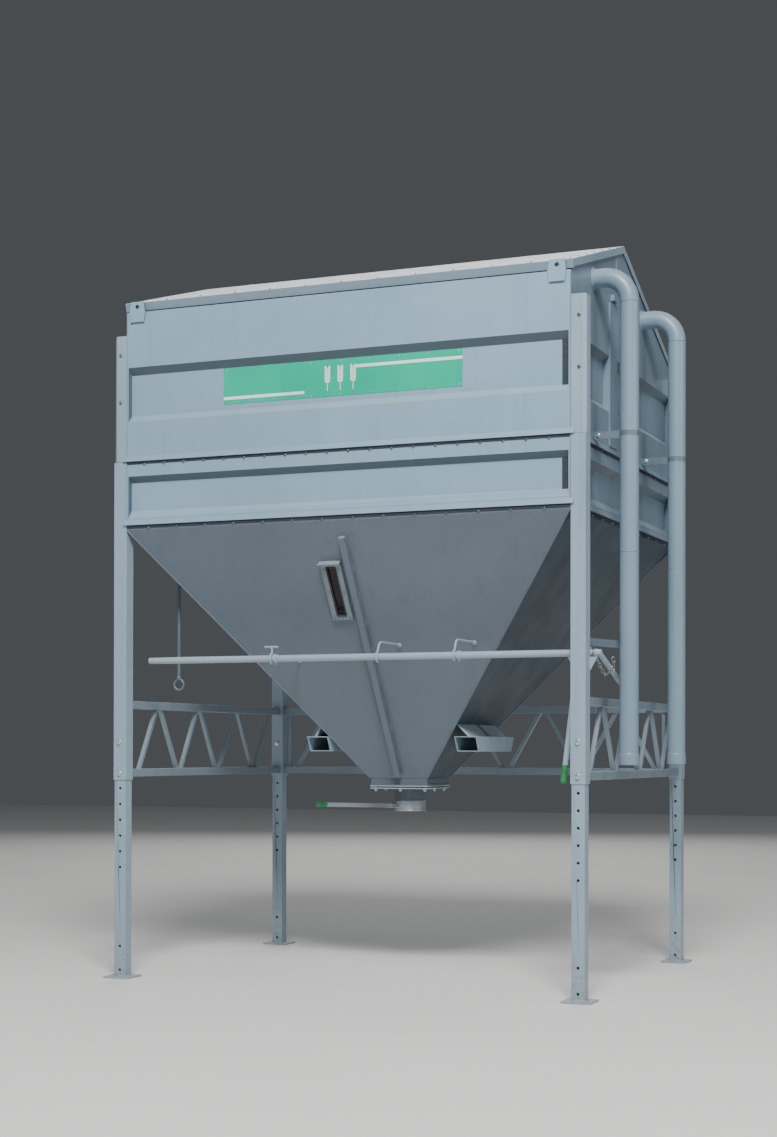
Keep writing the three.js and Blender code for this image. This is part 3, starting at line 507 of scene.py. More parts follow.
solid = bmesh.new()
for height in (SEAM_Z, RIM_Z):
    foot, top = height - LIP_SHADOW_TALL, height + 0.001
    for face, out in ((FRONT_FACE, -1), (BACK_FACE, 1)):
        near, far = through(face, out, LIP_SHADOW_SUNK, LIP_SHADOW_PROUD)
        add_box(solid, (LEFT_FACE + LONG_SIDE_GAP, near, foot), (RIGHT_FACE - LONG_SIDE_GAP, far, top))
    for face, out in ((LEFT_FACE, -1), (RIGHT_FACE, 1)):
        near, far = through(face, out, LIP_SHADOW_SUNK, LIP_SHADOW_PROUD)
        add_box(solid, (near, FRONT_FACE + END_WALL_GAP, foot), (far, BACK_FACE - END_WALL_GAP, top))
for foot, top in TRAY_SPANS:
    for floor_y, out in ((FRONT_FACE + TRAY_DEPTH, -1), (BACK_FACE - TRAY_DEPTH, 1)):
        near, far = through(floor_y, out, TRAY_END_SUNK, TRAY_END_PROUD)
        edge = RIGHT_FACE - TRAY_END_INSET if out < 0 else LEFT_FACE + TRAY_END_INSET
        left, right = through(edge, out, 0, TRAY_END_WIDTH)
        add_box(solid, (left, near, foot), (right, far, top))
# The dark strips paint the shadows cast by the drip lips and the corner posts.
rounded(make_piece("painted_shadow_strips", solid, rubbery_finish("painted_shadow_dark", (0.022, 0.032, 0.045))), 0.0015)


# Post bolts. Two small bolts on the face of each corner post hold the wall panels behind it.
POST_BOLT = 0.012
POST_BOLT_HEIGHTS = (3.645, 3.943)
POST_BOLT_INSET = 0.004
solid = bmesh.new()
for corner in CORNERS:
    centre = leg_axis[corner]
    way = 1 if corner.startswith("back") else -1
    for height in POST_BOLT_HEIGHTS:
        seat = Vector((centre.x - way * POST_BOLT_INSET, centre.y + way * LEG_HALF, height))
        add_bolt_head(solid, seat, Y_AXIS * way, POST_BOLT)
make_piece("post_bolts", solid, joint_zinc)


# Green band. A thin vinyl-faced sheet on the front panel's tray, plain green with two pale lines
# and three printed grain ears, fixed along its edges with small rivets.
BAND_LEFT, BAND_RIGHT = MIDDLE_X - 0.792, MIDDLE_X + 0.788
BAND_FOOT, BAND_TOP = 3.590, 3.814
BAND_GREEN, BAND_PALE = (0.0005, 0.430, 0.265), (0.80, 0.86, 0.84)
BAND_BACK, BAND_THICK, PRINT_OFF = 0.001, (0, -0.003, 0), 0.0015
PRINT_THICK = (0, -0.0011, 0)
LINE_HALF = 0.009
LINES = (  # left, right, height
    (BAND_LEFT, MIDDLE_X - 0.24, BAND_FOOT + 0.036),
    (MIDDLE_X + 0.10, BAND_RIGHT, BAND_TOP - 0.052),
)
EAR_PITCH, EAR_FOOT = 0.085, BAND_FOOT + 0.034
STEM_HALF, STEM_TALL = 0.002, 0.135
GRAIN_ROWS, GRAIN_PITCH, GRAIN_LEAN = 5, 0.020, math.radians(28)
GRAIN_OFF, GRAIN_FOOT = 0.004, 0.048
GRAIN = [(0.0, 0.0), (0.0065, 0.010), (0.0045, 0.022), (0.0, 0.030), (-0.0045, 0.022), (-0.0065, 0.010)]
RIVET = [(0, 0.005), (0.0016, 0.0045), (0.0026, 0.002)]
RIVET_GAPS = 8
RIVET_INSET, RIVET_END = 0.012, 0.02


def printed_vinyl(name, colour):
    """A matt printed film, faded in patches and streaked by rain."""
    material, tree, shader, place = new_finish(name)
    fade = between(tree, noise(tree, place, 3.0, 3.0), 0.3, 0.7)
    skin = blended(tree, fade, toned(colour, 0.92), toned(colour, 1.08))
    film = between(tree, noise(tree, place, 1.0, 4.0, (30, 30, 3)), 0.55, 0.8, 0.0, 0.15)
    skin = blended(tree, film, skin, toned(colour, 0.85))
    rough = between(tree, fade, 0.0, 1.0, 0.42, 0.52)
    relief = bumped(tree, noise(tree, place, 9.0, 2.0), 0.2, 0.003)
    set_sockets(tree, shader, {"Base Color": skin, "Roughness": rough, "Normal": relief})
    shader.inputs["Specular IOR Level"].default_value = 0.0
    return material


def add_print(solid, root, outline):
    """A flat printed shape: its outline is given as (right, up) from its root on the band."""
    add_plate(solid, [root + Vector((x, 0, z)) for x, z in outline], PRINT_THICK)


band_y = FRONT_FACE + TRAY_DEPTH
solid = bmesh.new()
sides = oblong(BAND_LEFT, BAND_FOOT, BAND_RIGHT, BAND_TOP)
add_plate(solid, [(x, band_y + BAND_BACK, z) for x, z in sides], BAND_THICK)
make_piece("green_band", solid, printed_vinyl("band_green", BAND_GREEN))

print_y = band_y - PRINT_OFF
solid = bmesh.new()
for left, right, height in LINES:
    add_print(solid, Vector((0, print_y, height)), oblong(left, -LINE_HALF, right, LINE_HALF))
for ear in (-EAR_PITCH, 0.0, EAR_PITCH):
    foot = Vector((MIDDLE_X + ear, print_y, EAR_FOOT))
    add_print(solid, foot, oblong(-STEM_HALF, 0.0, STEM_HALF, STEM_TALL))
    for row in range(GRAIN_ROWS):
        for side in (-1, 1):
            root = foot + Vector((side * GRAIN_OFF, 0, GRAIN_FOOT + row * GRAIN_PITCH))
            cos, sin = math.cos(GRAIN_LEAN), math.sin(GRAIN_LEAN) * side
            add_print(solid, root, [(x * cos + z * sin, z * cos - x * sin) for x, z in GRAIN])
make_piece("green_band_print", solid, printed_vinyl("band_pale", BAND_PALE))

solid = bmesh.new()
for height in (BAND_FOOT + RIVET_INSET, BAND_TOP - RIVET_INSET):
    for i in range(RIVET_GAPS + 1):
        x = BAND_LEFT + RIVET_END + i * (BAND_RIGHT - BAND_LEFT - 2 * RIVET_END) / RIVET_GAPS
        add_turned(solid, (x, band_y - BAND_BACK, height), -Y_AXIS, RIVET, 12)
make_piece("green_band_rivets", solid, bolt_zinc)


# Roof. A long back sheet and a flatter front sheet meet at the ridge, each folded down square at
# the eave and at both verges, and sealed at the ridge with a bead of mastic.
# Faces of the roof that look up take this pale colour in patches, as a painted sky sheen.
ROOF_PAINTED_SHEEN = (0.86, 0.89, 0.88)
FRONT_EAVE_Z, BACK_EAVE_Z = 4.267, 4.058
BEAD_INSET, BEAD_DROP, BEAD_RADIUS = 0.006, -0.0062, 0.0048
# Faces of the roof that look down are darkened with painted shade.
roof_enamel = sprayed_enamel(
    "roof_enamel", (0.235, 0.330, 0.410), waves=0.35, dust_and_sheen_colour=ROOF_PAINTED_SHEEN, dust_and_sheen_share=1.0, painted_shade_below=0.6
)
finish_nodes(["roof_front", "roof_back"], roof_enamel, 0.0025)

roof_low, roof_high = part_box("roof_front")
RIDGE = Vector((MIDDLE_X, roof_high.y, roof_high.z))
FRONT_EAVE = Vector((MIDDLE_X, roof_low.y, FRONT_EAVE_Z))
BACK_EAVE = Vector((MIDDLE_X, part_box("roof_back")[1].y, BACK_EAVE_Z))

hand = random.Random(31)
solid = bmesh.new()
ridge_start = RIDGE + Vector((roof_low.x - MIDDLE_X + BEAD_INSET, 0, BEAD_DROP))
ridge_end = RIDGE + Vector((roof_high.x - MIDDLE_X - BEAD_INSET, 0, BEAD_DROP))
add_weld(solid, ridge_start, ridge_end, BEAD_RADIUS, hand, pitch=0.03)
make_piece("ridge_mastic", solid, rubbery_finish("grey_mastic", (0.20, 0.24, 0.27)), sharp=60)


# Roof screws. Self-drilling screws with sealing washers run along both verges and above each eave,
# where the sheets are fixed to the walls.
SCREW = 0.0075
VERGE_INSET = 0.028
VERGE_SHARES = (0.06, 0.21, 0.36, 0.51, 0.66, 0.81, 0.95)
EAVE_GAPS = 12
solid = bmesh.new()
for eave in (FRONT_EAVE, BACK_EAVE):
    fall = eave - RIDGE
    out = Vector((0, -fall.z, fall.y)) if fall.y > 0 else Vector((0, fall.z, -fall.y))
    out.normalize()
    for share in VERGE_SHARES:
        for x in (roof_low.x + VERGE_INSET, roof_high.x - VERGE_INSET):
            add_bolt_head(solid, RIDGE + fall * share + Vector((x - MIDDLE_X, 0, 0)), out, SCREW)
    for i in range(1, EAVE_GAPS):
        x = roof_low.x + VERGE_INSET + i * (roof_high.x - roof_low.x - 2 * VERGE_INSET) / EAVE_GAPS
        add_bolt_head(solid, RIDGE + fall * VERGE_SHARES[-1] + Vector((x - MIDDLE_X, 0, 0)), out, SCREW)
make_piece("roof_screws", solid, joint_zinc)


# Gable stiffeners. A shallow folded strip runs up each end wall, fills its tray and ends in a small
# bracket, and a flat strap ties the gable's peak to the roof's verge. All are welded on, then painted.
STIFFENER = (-0.393, -0.240)
BRACKET = (-0.353, -0.270)
STRAP = (-0.238, -0.148)
STRIPS = (  # sunk in the gable, proud of it, front and back, foot, top
    (0.004, 0.008, STIFFENER, SEAM_Z + 0.042, 4.190),
    (TRAY_DEPTH + 0.001, 0, STIFFENER, SEAM_Z + 0.245, SEAM_Z + 0.602),
    (0.004, 0.022, BRACKET, 4.205, 4.245),
    (0.004, 0.0035, STRAP, 4.400, 4.520),
)
solid = bmesh.new()
for face, out in ((RIGHT_FACE, 1), (LEFT_FACE, -1)):
    for sunk, proud, (front, back), foot, top in STRIPS:
        near, far = through(face, out, sunk, proud)
        add_box(solid, (near, front, foot), (far, back, top))
# The strips take the end walls' darker colour, which is painted shade.
rounded(make_piece("gable_stiffeners", solid, end_wall_shade_enamel), 0.0025)


# Hopper. Four sloping plates are welded edge to edge under the walls into an upside-down pyramid,
# and a box section is stitched by short welds down the middle of the front plate to stiffen it.
# The hopper's plates are a dark copy of the enamel, as painted shade under the walls.
hopper_shade_enamel = sprayed_enamel("hopper_shade_enamel", (0.115, 0.150, 0.190), streaks=0.3, waves=0.5)
# The right plate is darker still, with little gloss, as painted shade on that side.
shaded_enamel = sprayed_enamel(
    "shaded_hopper_enamel", (0.050, 0.068, 0.090), streaks=0.3, waves=0.5, dull=0.2
)
finish_nodes(["hopper_front", "hopper_back", "hopper_left", "hopper_rib"], hopper_shade_enamel, 0.002)
finish_nodes(["hopper_right"], shaded_enamel, 0.002)

OUTLET_HALF = 0.197
HOPPER_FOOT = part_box("hopper_front")[0].z
HOPPER_SHOULDER = RIM_Z - 0.0303
hopper_half_x = RIGHT_FACE - MIDDLE_X - 0.0023
hopper_half_y = -FRONT_FACE - 0.002
hand = random.Random(47)
solid = bmesh.new()
for x in (-1, 1):
    for y in (-1, 1):
        top = Vector((MIDDLE_X + x * hopper_half_x, y * hopper_half_y, HOPPER_SHOULDER))
        foot = Vector((MIDDLE_X + x * OUTLET_HALF, y * OUTLET_HALF, HOPPER_FOOT))
        add_weld(solid, top, foot, WIDE_FILLET, hand, pitch=0.012)
make_piece("hopper_corner_welds", solid, hopper_shade_enamel, sharp=60)

PLATE_TOP = Vector((MIDDLE_X, -hopper_half_y, HOPPER_SHOULDER))
PLATE_FOOT = Vector((MIDDLE_X, -OUTLET_HALF, HOPPER_FOOT))
DOWN_PLATE = (PLATE_FOOT - PLATE_TOP).normalized()
OUT_OF_PLATE = X_AXIS.cross(DOWN_PLATE)
if OUT_OF_PLATE.y > 0:
    OUT_OF_PLATE.negate()


def on_plate(across, down, out=0.0):
    """A point on the front hopper plate: metres right of its middle, down it and out from it."""
    return PLATE_TOP + X_AXIS * across + DOWN_PLATE * down + OUT_OF_PLATE * out


RIB_SIDES = (-0.013, 0.029)
STITCH_RADIUS, STITCH_LENGTH, STITCH_PITCH = 0.005, 0.06, 0.19
STITCH_FIRST, STITCH_CLEAR = 0.115, 0.1
hand = random.Random(53)
solid = bmesh.new()
plate_length = (PLATE_FOOT - PLATE_TOP).length
for across in RIB_SIDES:
    down = STITCH_FIRST
    while down < plate_length - STITCH_CLEAR:
        start, end = on_plate(across, down, 0.001), on_plate(across, down + STITCH_LENGTH, 0.001)
        add_weld(solid, start, end, STITCH_RADIUS, hand)
        down += STITCH_PITCH
make_piece("rib_welds", solid, hopper_shade_enamel, sharp=60)


# Sight glass. A tinted pane in a raised steel frame beside the rib shows how full the hopper is. A
# folded hood keeps rain off it, a rubber seal laps the frame, and six screws hold the frame's sides.
GLASS_ACROSS = -0.114
GLASS_TOP, GLASS_FOOT = 0.276, 0.671
SEAL_HALF, SEAL_END = 0.030, 0.030
SEAL_OUT, SEAL_RADIUS = 0.0155, 0.0065
GLASS_SCREW_ACROSS, GLASS_SCREW_OUT = 0.051, 0.0178
GLASS_SCREWS_DOWN = (GLASS_TOP + 0.045, (GLASS_TOP + GLASS_FOOT) / 2, GLASS_FOOT - 0.015)
frame_enamel = sprayed_enamel("sight_frame_enamel", (0.170, 0.218, 0.262))
finish_nodes(["sight_frame"], frame_enamel, 0.002)


def tinted_pane(name):
    """Dark glossy plastic with feed grains faint behind it and a thin film of dust."""
    material, tree, shader, place = new_finish(name)
    grains = shader_node(tree, "TexVoronoi", {"Vector": place, "Scale": 130.0}).outputs["Color"]
    grain = shader_node(tree, "SeparateXYZ", {"Vector": grains}).outputs["X"]
    shade = between(tree, grain, 0.3, 0.9)
    behind = blended(tree, shade, (0.004, 0.003, 0.008, 1), (0.014, 0.010, 0.015, 1))
    film = between(tree, noise(tree, place, 30.0, 4.0), 0.5, 0.75, 0.0, 0.03)
    skin = blended(tree, film, behind, (0.2, 0.2, 0.19, 1))
    set_sockets(tree, shader, {"Base Color": skin, "Roughness": 0.16, "Specular IOR Level": 0.3})
    set_sockets(tree, shader, {"Coat Weight": 0.08, "Coat Roughness": 0.08})
    return material


for slot in frame["nodes"]["sight_glass"].material_slots:
    slot.material = tinted_pane("tinted_pane")

solid = bmesh.new()
seal_top, seal_foot = GLASS_TOP + SEAL_END, GLASS_FOOT - SEAL_END
for a, b in (
    ((-SEAL_HALF, seal_top), (-SEAL_HALF, seal_foot)),
    ((SEAL_HALF, seal_top), (SEAL_HALF, seal_foot)),
    ((-SEAL_HALF, seal_top), (SEAL_HALF, seal_top)),
    ((-SEAL_HALF, seal_foot), (SEAL_HALF, seal_foot)),
):
    start, end = (on_plate(GLASS_ACROSS + across, down, SEAL_OUT) for across, down in (a, b))
    add_swept(solid, straight(start, end), SEAL_RADIUS, sides=12)
seal_rubber = rubbery_finish("seal_rubber", (0.03, 0.03, 0.032))
make_piece("sight_glass_seal", solid, seal_rubber, sharp=60)

solid = bmesh.new()
for across in (-GLASS_SCREW_ACROSS, GLASS_SCREW_ACROSS):
    for down in GLASS_SCREWS_DOWN:
        add_bolt_head(solid, on_plate(GLASS_ACROSS + across, down, GLASS_SCREW_OUT), OUT_OF_PLATE, SCREW)
make_piece("sight_glass_screws", solid, joint_zinc)


# Outlet. A square collar under the hopper is bolted to the square flange of a round neck, and the
# galvanised spout below it holds the slide gate. The two flanges have pale rims, a painted highlight, with a
# gap between.
Z_AXIS = Vector((0, 0, 1))
NECK_RADIUS = 0.1025
RIM_SUNK, RIM_PROUD, RIM_DEPTH = 0.001, 0.004, 0.005
RIM_OFF, RIM_CORNER = 0.0045, 0.002
FLANGE_BOLT_LINE = 0.172
FLANGE_NUT, STUD_RADIUS, STUD_LONG = 0.0125, 0.0052, 0.010
FLANGE_THICK = 0.012
NECK_WELD_OFF, NECK_WELD, SPOUT_WELD = 0.0135, 0.0045, 0.0035
SPOUT_BEAD, SPOUT_BEAD_UP = 0.0045, 0.005
# The collar and neck are painted dark, as painted shade under the hopper.
outlet_shade_enamel = sprayed_enamel("outlet_shade_enamel", (0.092, 0.122, 0.150), waves=0.05)
finish_nodes(["outlet_collar", "outlet_neck"], outlet_shade_enamel, 0.002)


def galvanised(name):
    """Hot-dipped zinc: a pattern of flakes under patches of pale chalk."""
    material, tree, shader, place = new_finish(name)
    flakes = shader_node(tree, "TexVoronoi", {"Vector": place, "Scale": 75.0}).outputs["Color"]
    flake = shader_node(tree, "SeparateXYZ", {"Vector": flakes}).outputs["X"]
    skin = blended(tree, flake, (0.26, 0.31, 0.35, 1.0), (0.36, 0.42, 0.47, 1.0))
    chalk = between(tree, noise(tree, place, 9.0, 4.0), 0.45, 0.75, 0.0, 0.5)
    skin = blended(tree, chalk, skin, (0.42, 0.47, 0.50, 1.0))
    rough = between(tree, flake, 0.0, 1.0, 0.34, 0.52)
    relief = bumped(tree, flake, 0.12, 0.0004)
    set_sockets(tree, shader, {"Base Color": skin, "Roughness": rough, "Normal": relief, "Metallic": 0.6})
    return material


dipped_zinc = galvanised("dipped_zinc")
finish_nodes(["outlet_spout"], dipped_zinc, 0.0012)
gate_enamel = sprayed_enamel("gate_enamel", (0.255, 0.300, 0.330), streaks=0.1)
finish_nodes(["slide_gate"], gate_enamel, 0.0012)

collar_low, collar_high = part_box("outlet_collar")
lower_flange_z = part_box("outlet_neck")[1].z
solid = bmesh.new()
for foot in (collar_low.z + RIM_OFF, lower_flange_z - RIM_DEPTH - RIM_OFF):
    top = foot + RIM_DEPTH
    for face, out in ((collar_low.x, -1), (collar_high.x, 1)):
        left, right = through(face, out, RIM_SUNK, RIM_PROUD)
        add_box(solid, (left, collar_low.y - RIM_PROUD, foot), (right, collar_high.y + RIM_PROUD, top))
    for face, out in ((collar_low.y, -1), (collar_high.y, 1)):
        front, back = through(face, out, RIM_SUNK, RIM_PROUD)
        add_box(solid, (collar_low.x + RIM_CORNER, front, foot), (collar_high.x - RIM_CORNER, back, top))
# The rims' pale enamel is a painted highlight on the flange edges.
rim_highlight_enamel = sprayed_enamel("flange_rim_painted_highlight", (0.44, 0.53, 0.60), streaks=0.3)
rounded(make_piece("flange_rims", solid, rim_highlight_enamel), 0.001)

solid = bmesh.new()
for i in range(4):
    turn = Matrix.Rotation(i * math.pi / 2, 3, "Z")
    for across in (-FLANGE_BOLT_LINE, 0.0):
        place = turn @ Vector((across, -FLANGE_BOLT_LINE, 0)) + Vector((MIDDLE_X, 0, lower_flange_z))
        add_nut(solid, place - Z_AXIS * FLANGE_THICK, -Z_AXIS, FLANGE_NUT)
        add_turned(solid, place, Z_AXIS, [(0, STUD_RADIUS), (STUD_LONG, STUD_RADIUS)], 12)
make_piece("flange_bolts", solid, bolt_zinc)


spout_low, spout_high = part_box("outlet_spout")
hand = random.Random(59)
solid = bmesh.new()
for height, radius in ((lower_flange_z - NECK_WELD_OFF, NECK_WELD), (spout_high.z, SPOUT_WELD)):
    path = circle((MIDDLE_X, 0, height), NECK_RADIUS, 72)
    swell = [radius * (0.9 + 0.2 * (i % 2) + hand.uniform(-0.05, 0.05)) for i in range(len(path))]
    add_swept(solid, path, swell, sides=8, closed=True)
make_piece("neck_welds", solid, outlet_shade_enamel, sharp=60)

solid = bmesh.new()
path = circle((MIDDLE_X, 0, spout_low.z + SPOUT_BEAD_UP), NECK_RADIUS, 72)
add_swept(solid, path, SPOUT_BEAD, closed=True)
make_piece("spout_bead", solid, dipped_zinc, sharp=60)


# Gate guides and grip. The slide gate runs between two folded rails welded to the spout, and its
# pull bar ends in a moulded green grip with ribs for the fingers.
GATE_Z = 1.078
GUIDE_LEFT, GUIDE_RIGHT = MIDDLE_X - 0.128, MIDDLE_X - 0.035
GUIDE_INNER, GUIDE_OUTER, GUIDE_THICK = 0.082, 0.096, 0.004
GUIDE_FEET = (GATE_Z - 0.012, GATE_Z + 0.008)
solid = bmesh.new()
for side in (-1, 1):
    front, back = sorted((side * GUIDE_INNER, side * GUIDE_OUTER))
    for foot in GUIDE_FEET:
        add_box(solid, (GUIDE_LEFT, front, foot), (GUIDE_RIGHT, back, foot + GUIDE_THICK))
rounded(make_piece("gate_guides", solid, dipped_zinc), 0.001)


def moulded_green(name, colour):
    """Grained green plastic, worn in patches and scuffed pale."""
    material, tree, shader, place = new_finish(name)
    wear = between(tree, noise(tree, place, 26.0, 4.0), 0.35, 0.7)
    skin = blended(tree, wear, toned(colour, 1.1), toned(colour, 0.75))
    scuffs = between(tree, noise(tree, place, 110.0, 3.0), 0.6, 0.75, 0.0, 0.35)
    skin = blended(tree, scuffs, skin, (0.20, 0.30, 0.22, 1.0))
    rough = between(tree, wear, 0.0, 1.0, 0.38, 0.55)
    relief = bumped(tree, noise(tree, place, 900.0), 0.25, 0.0003)
    set_sockets(tree, shader, {"Base Color": skin, "Roughness": rough, "Normal": relief})
    return material


def add_grip(solid, start, end, radius, ribs=7):
    """A moulded grip from start to its rounded end, with ribs between two collars."""
    start, end = Vector(start), Vector(end)
    length = (end - start).length
    groove, first, last = radius * 0.86, 0.014, 0.028
    profile = [(0.0, groove), (0.003, radius), (0.010, radius)]
    step = (length - first - last) / ribs
    for i in range(ribs):
        foot = first + i * step
        profile += [(foot, groove), (foot + step * 0.3, radius * 0.97), (foot + step * 0.7, radius * 0.97)]
    profile += [(length - 0.026, radius * 0.88), (length - 0.020, radius), (length - 0.010, radius * 0.96)]
    profile += [(length - 0.004, radius * 0.78), (length, radius * 0.35)]
    add_turned(solid, start, end - start, profile, 28)


grip_green = moulded_green("grip_green", (0.016, 0.225, 0.065))
grip_low, grip_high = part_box("slide_grip")
half_length = X_AXIS * (grip_high.x - grip_low.x) / 2
start, end = middle_of("slide_grip") + half_length, middle_of("slide_grip") - half_length
solid = bmesh.new()
add_grip(solid, start, end, (grip_high.z - grip_low.z) / 2)
piece = make_piece("slide_gate_grip", solid, grip_green, body="gate")
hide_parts("slide_grip")


# Fork pockets. Two rectangular tubes with slanted ends hang from the hopper's sides by welded
# plates, so that a loader's forks can lift the empty bin.
POCKET_TALL = 0.096
HANGER_OFF = 0.045
POCKET_SEAMS = ((-0.377, -0.035), (0.015, 0.317))
finish_nodes(["fork_pocket_left", "fork_pocket_right"], leg_enamel, 0.0025)
hand = random.Random(61)
solid = bmesh.new()
for pocket, side in (("fork_pocket_left", -1), ("fork_pocket_right", 1)):
    low_corner, high_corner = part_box(pocket)
    pocket_top = low_corner.z + POCKET_TALL
    line = (high_corner.x if side > 0 else low_corner.x) - side * HANGER_OFF
    for start, end in POCKET_SEAMS:
        add_weld(solid, (line, start, pocket_top), (line, end, pocket_top), FILLET, hand)
make_piece("pocket_welds", solid, leg_enamel, sharp=60)


# Fill pipes. Each is a swept steel elbow that comes out through the right gable, and a long tube
# welded under it that ends in a wider coupling. Flat bars hold the tubes off the wall and the legs.
PIPE_RADIUS = 0.057
PIPE_WALL = 0.004
PIPE_BORE = PIPE_RADIUS - PIPE_WALL
COUPLING_RADIUS = 0.061
COLLAR_RADIUS = 0.069
COLLAR_EDGE = 0.068
WALL_COLLAR = [
    (0.0003, 0.0565),
    (0.0003, COLLAR_EDGE),
    (0.0015, COLLAR_RADIUS),
    (0.0045, COLLAR_RADIUS),
    (0.0055, COLLAR_EDGE),
]
SKIRT = [(0.0, 0.0595), (0.004, 0.061), (0.052, 0.0605), (0.058, 0.0595), (0.064, 0.0602), (0.070, 0.0575)]
CLAMP_BAND = [(-0.016, 0.0570), (-0.0155, 0.0578), (0.0155, 0.0578), (0.016, 0.0570)]
CLAMP_Z = 3.320
CLAMP_BOLT, CLAMP_BOLT_OFF = 0.013, 0.030
WALL_BAR_HALF, WALL_BAR_FOOT, WALL_BAR_TOP = 0.004, 0.024, 0.022
WALL_PAD_HALF, WALL_PAD_TOP, WALL_PAD_PROUD = 0.020, 0.034, 0.005
LEG_STAY_IN, LEG_STAY_SUNK = 0.010, 0.003
TUBE_WELD, COLLAR_WELD = (0.0024, 0.0006), (0.0040, 0.0012)
COLLAR_WELD_OFF, COLLAR_WELD_RING = 0.006, 0.0585
COUPLING_BORE = 0.0565
TUBE_JOINT_Z, TUBE_STEPS = 2.62, (3.6, 2.7, 2.0)
LEG_STAY_Z = 2.074
STAY_HALF_THICK, STAY_HALF_TALL = 0.004, 0.022
pipe_enamel = sprayed_enamel("pipe_enamel", (0.185, 0.265, 0.335))
stay_enamel = sprayed_enamel("stay_enamel", (0.112, 0.152, 0.185))
hand = random.Random(67)


def add_ring_weld(solid, path, radius, uneven, hand):
    """A closed bead along a ring, thicker by up to uneven where the hand was slow."""
    add_swept(solid, path, [radius + hand.uniform(0, uneven) for _ in path], sides=8, closed=True)


for pipe, leg in (("front", "front_right"), ("back", "back_right")):
    tube_low, tube_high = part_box("fill_pipe_" + pipe)
    elbow_low, elbow_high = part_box("fill_elbow_" + pipe)
    way = -1 if pipe == "front" else 1
    x = tube_high.x - COUPLING_RADIUS
    y = (elbow_low.y + elbow_high.y) / 2
    foot_z, joint_z = tube_low.z, elbow_low.z
    inlet_z = elbow_high.z - COLLAR_RADIUS
    bend = inlet_z - joint_z

    solid = bmesh.new()
    path = [(elbow_low.x, y, inlet_z), (x - bend - 0.004, y, inlet_z)]
    path += arc((x - bend, y, joint_z), bend, 0, 90, 24, Z_AXIS, X_AXIS)
    add_swept(solid, path, PIPE_RADIUS, sides=48, bore=PIPE_BORE)
    add_turned(solid, (RIGHT_FACE, y, inlet_z), X_AXIS, WALL_COLLAR, 48)
    piece = make_piece("fill_elbow_tube_" + pipe, solid, pipe_enamel, sharp=40)
    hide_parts("fill_elbow_" + pipe)

    solid = bmesh.new()
    path = [(x, y, height) for height in (joint_z - SET_IN, *TUBE_STEPS, foot_z)]
    add_swept(solid, path, PIPE_RADIUS, sides=48, bore=PIPE_BORE)
    piece = make_piece("fill_pipe_tube_" + pipe, solid, pipe_enamel, sharp=40)
    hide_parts("fill_pipe_" + pipe)

    solid = bmesh.new()
    for height in (joint_z, TUBE_JOINT_Z):
        add_ring_weld(solid, circle((x, y, height), PIPE_RADIUS, 96), *TUBE_WELD, hand)
    path = circle((RIGHT_FACE + COLLAR_WELD_OFF, y, inlet_z), COLLAR_WELD_RING, 96, Y_AXIS, Z_AXIS)
    add_ring_weld(solid, path, *COLLAR_WELD, hand)
    make_piece("fill_pipe_welds_" + pipe, solid, pipe_enamel, sharp=60)

    solid = bmesh.new()
    for low, high in zip(SKIRT, SKIRT[1:]):
        bottom, top = foot_z + low[0], foot_z + high[0]
        add_swept(solid, [(x, y, bottom), (x, y, top)], [low[1], high[1]], sides=48, bore=COUPLING_BORE)
    make_piece("fill_pipe_coupling_" + pipe, solid, pipe_enamel, sharp=40)

    solid = bmesh.new()
    add_turned(solid, (x, y, CLAMP_Z), Z_AXIS, CLAMP_BAND, 48)
    low = Vector((RIGHT_FACE - 0.001, y, CLAMP_Z))
    high = (x - PIPE_RADIUS, y + WALL_BAR_HALF, CLAMP_Z + WALL_BAR_TOP)
    add_box(solid, low - Vector((0, WALL_BAR_HALF, WALL_BAR_FOOT)), high)
    high = (RIGHT_FACE + WALL_PAD_PROUD, y + WALL_PAD_HALF, CLAMP_Z + WALL_PAD_TOP)
    add_box(solid, low - Vector((0, WALL_PAD_HALF, WALL_PAD_HALF)), high)
    leg_face = leg_axis[leg].y - way * (LEG_HALF - SET_IN)
    start = Vector((leg_axis[leg].x + LEG_STAY_IN, leg_face, LEG_STAY_Z))
    end = Vector((x - PIPE_RADIUS + LEG_STAY_SUNK, y, LEG_STAY_Z))
    thick = Z_AXIS.cross((end - start).normalized()) * STAY_HALF_THICK
    tall = Z_AXIS * STAY_HALF_TALL
    corners = [start - tall - thick, end - tall - thick, end + tall - thick, start + tall - thick]
    add_plate(solid, corners, thick * 2)
    rounded(make_piece("fill_pipe_stays_" + pipe, solid, stay_enamel), 0.0015)

    solid = bmesh.new()
    seat = Vector((RIGHT_FACE + CLAMP_BOLT_OFF, y, CLAMP_Z))
    add_bolt_head(solid, seat - Y_AXIS * WALL_BAR_HALF, -Y_AXIS, CLAMP_BOLT)
    add_nut(solid, seat + Y_AXIS * WALL_BAR_HALF, Y_AXIS, CLAMP_BOLT)
    make_piece("fill_pipe_bolts_" + pipe, solid, bolt_zinc)


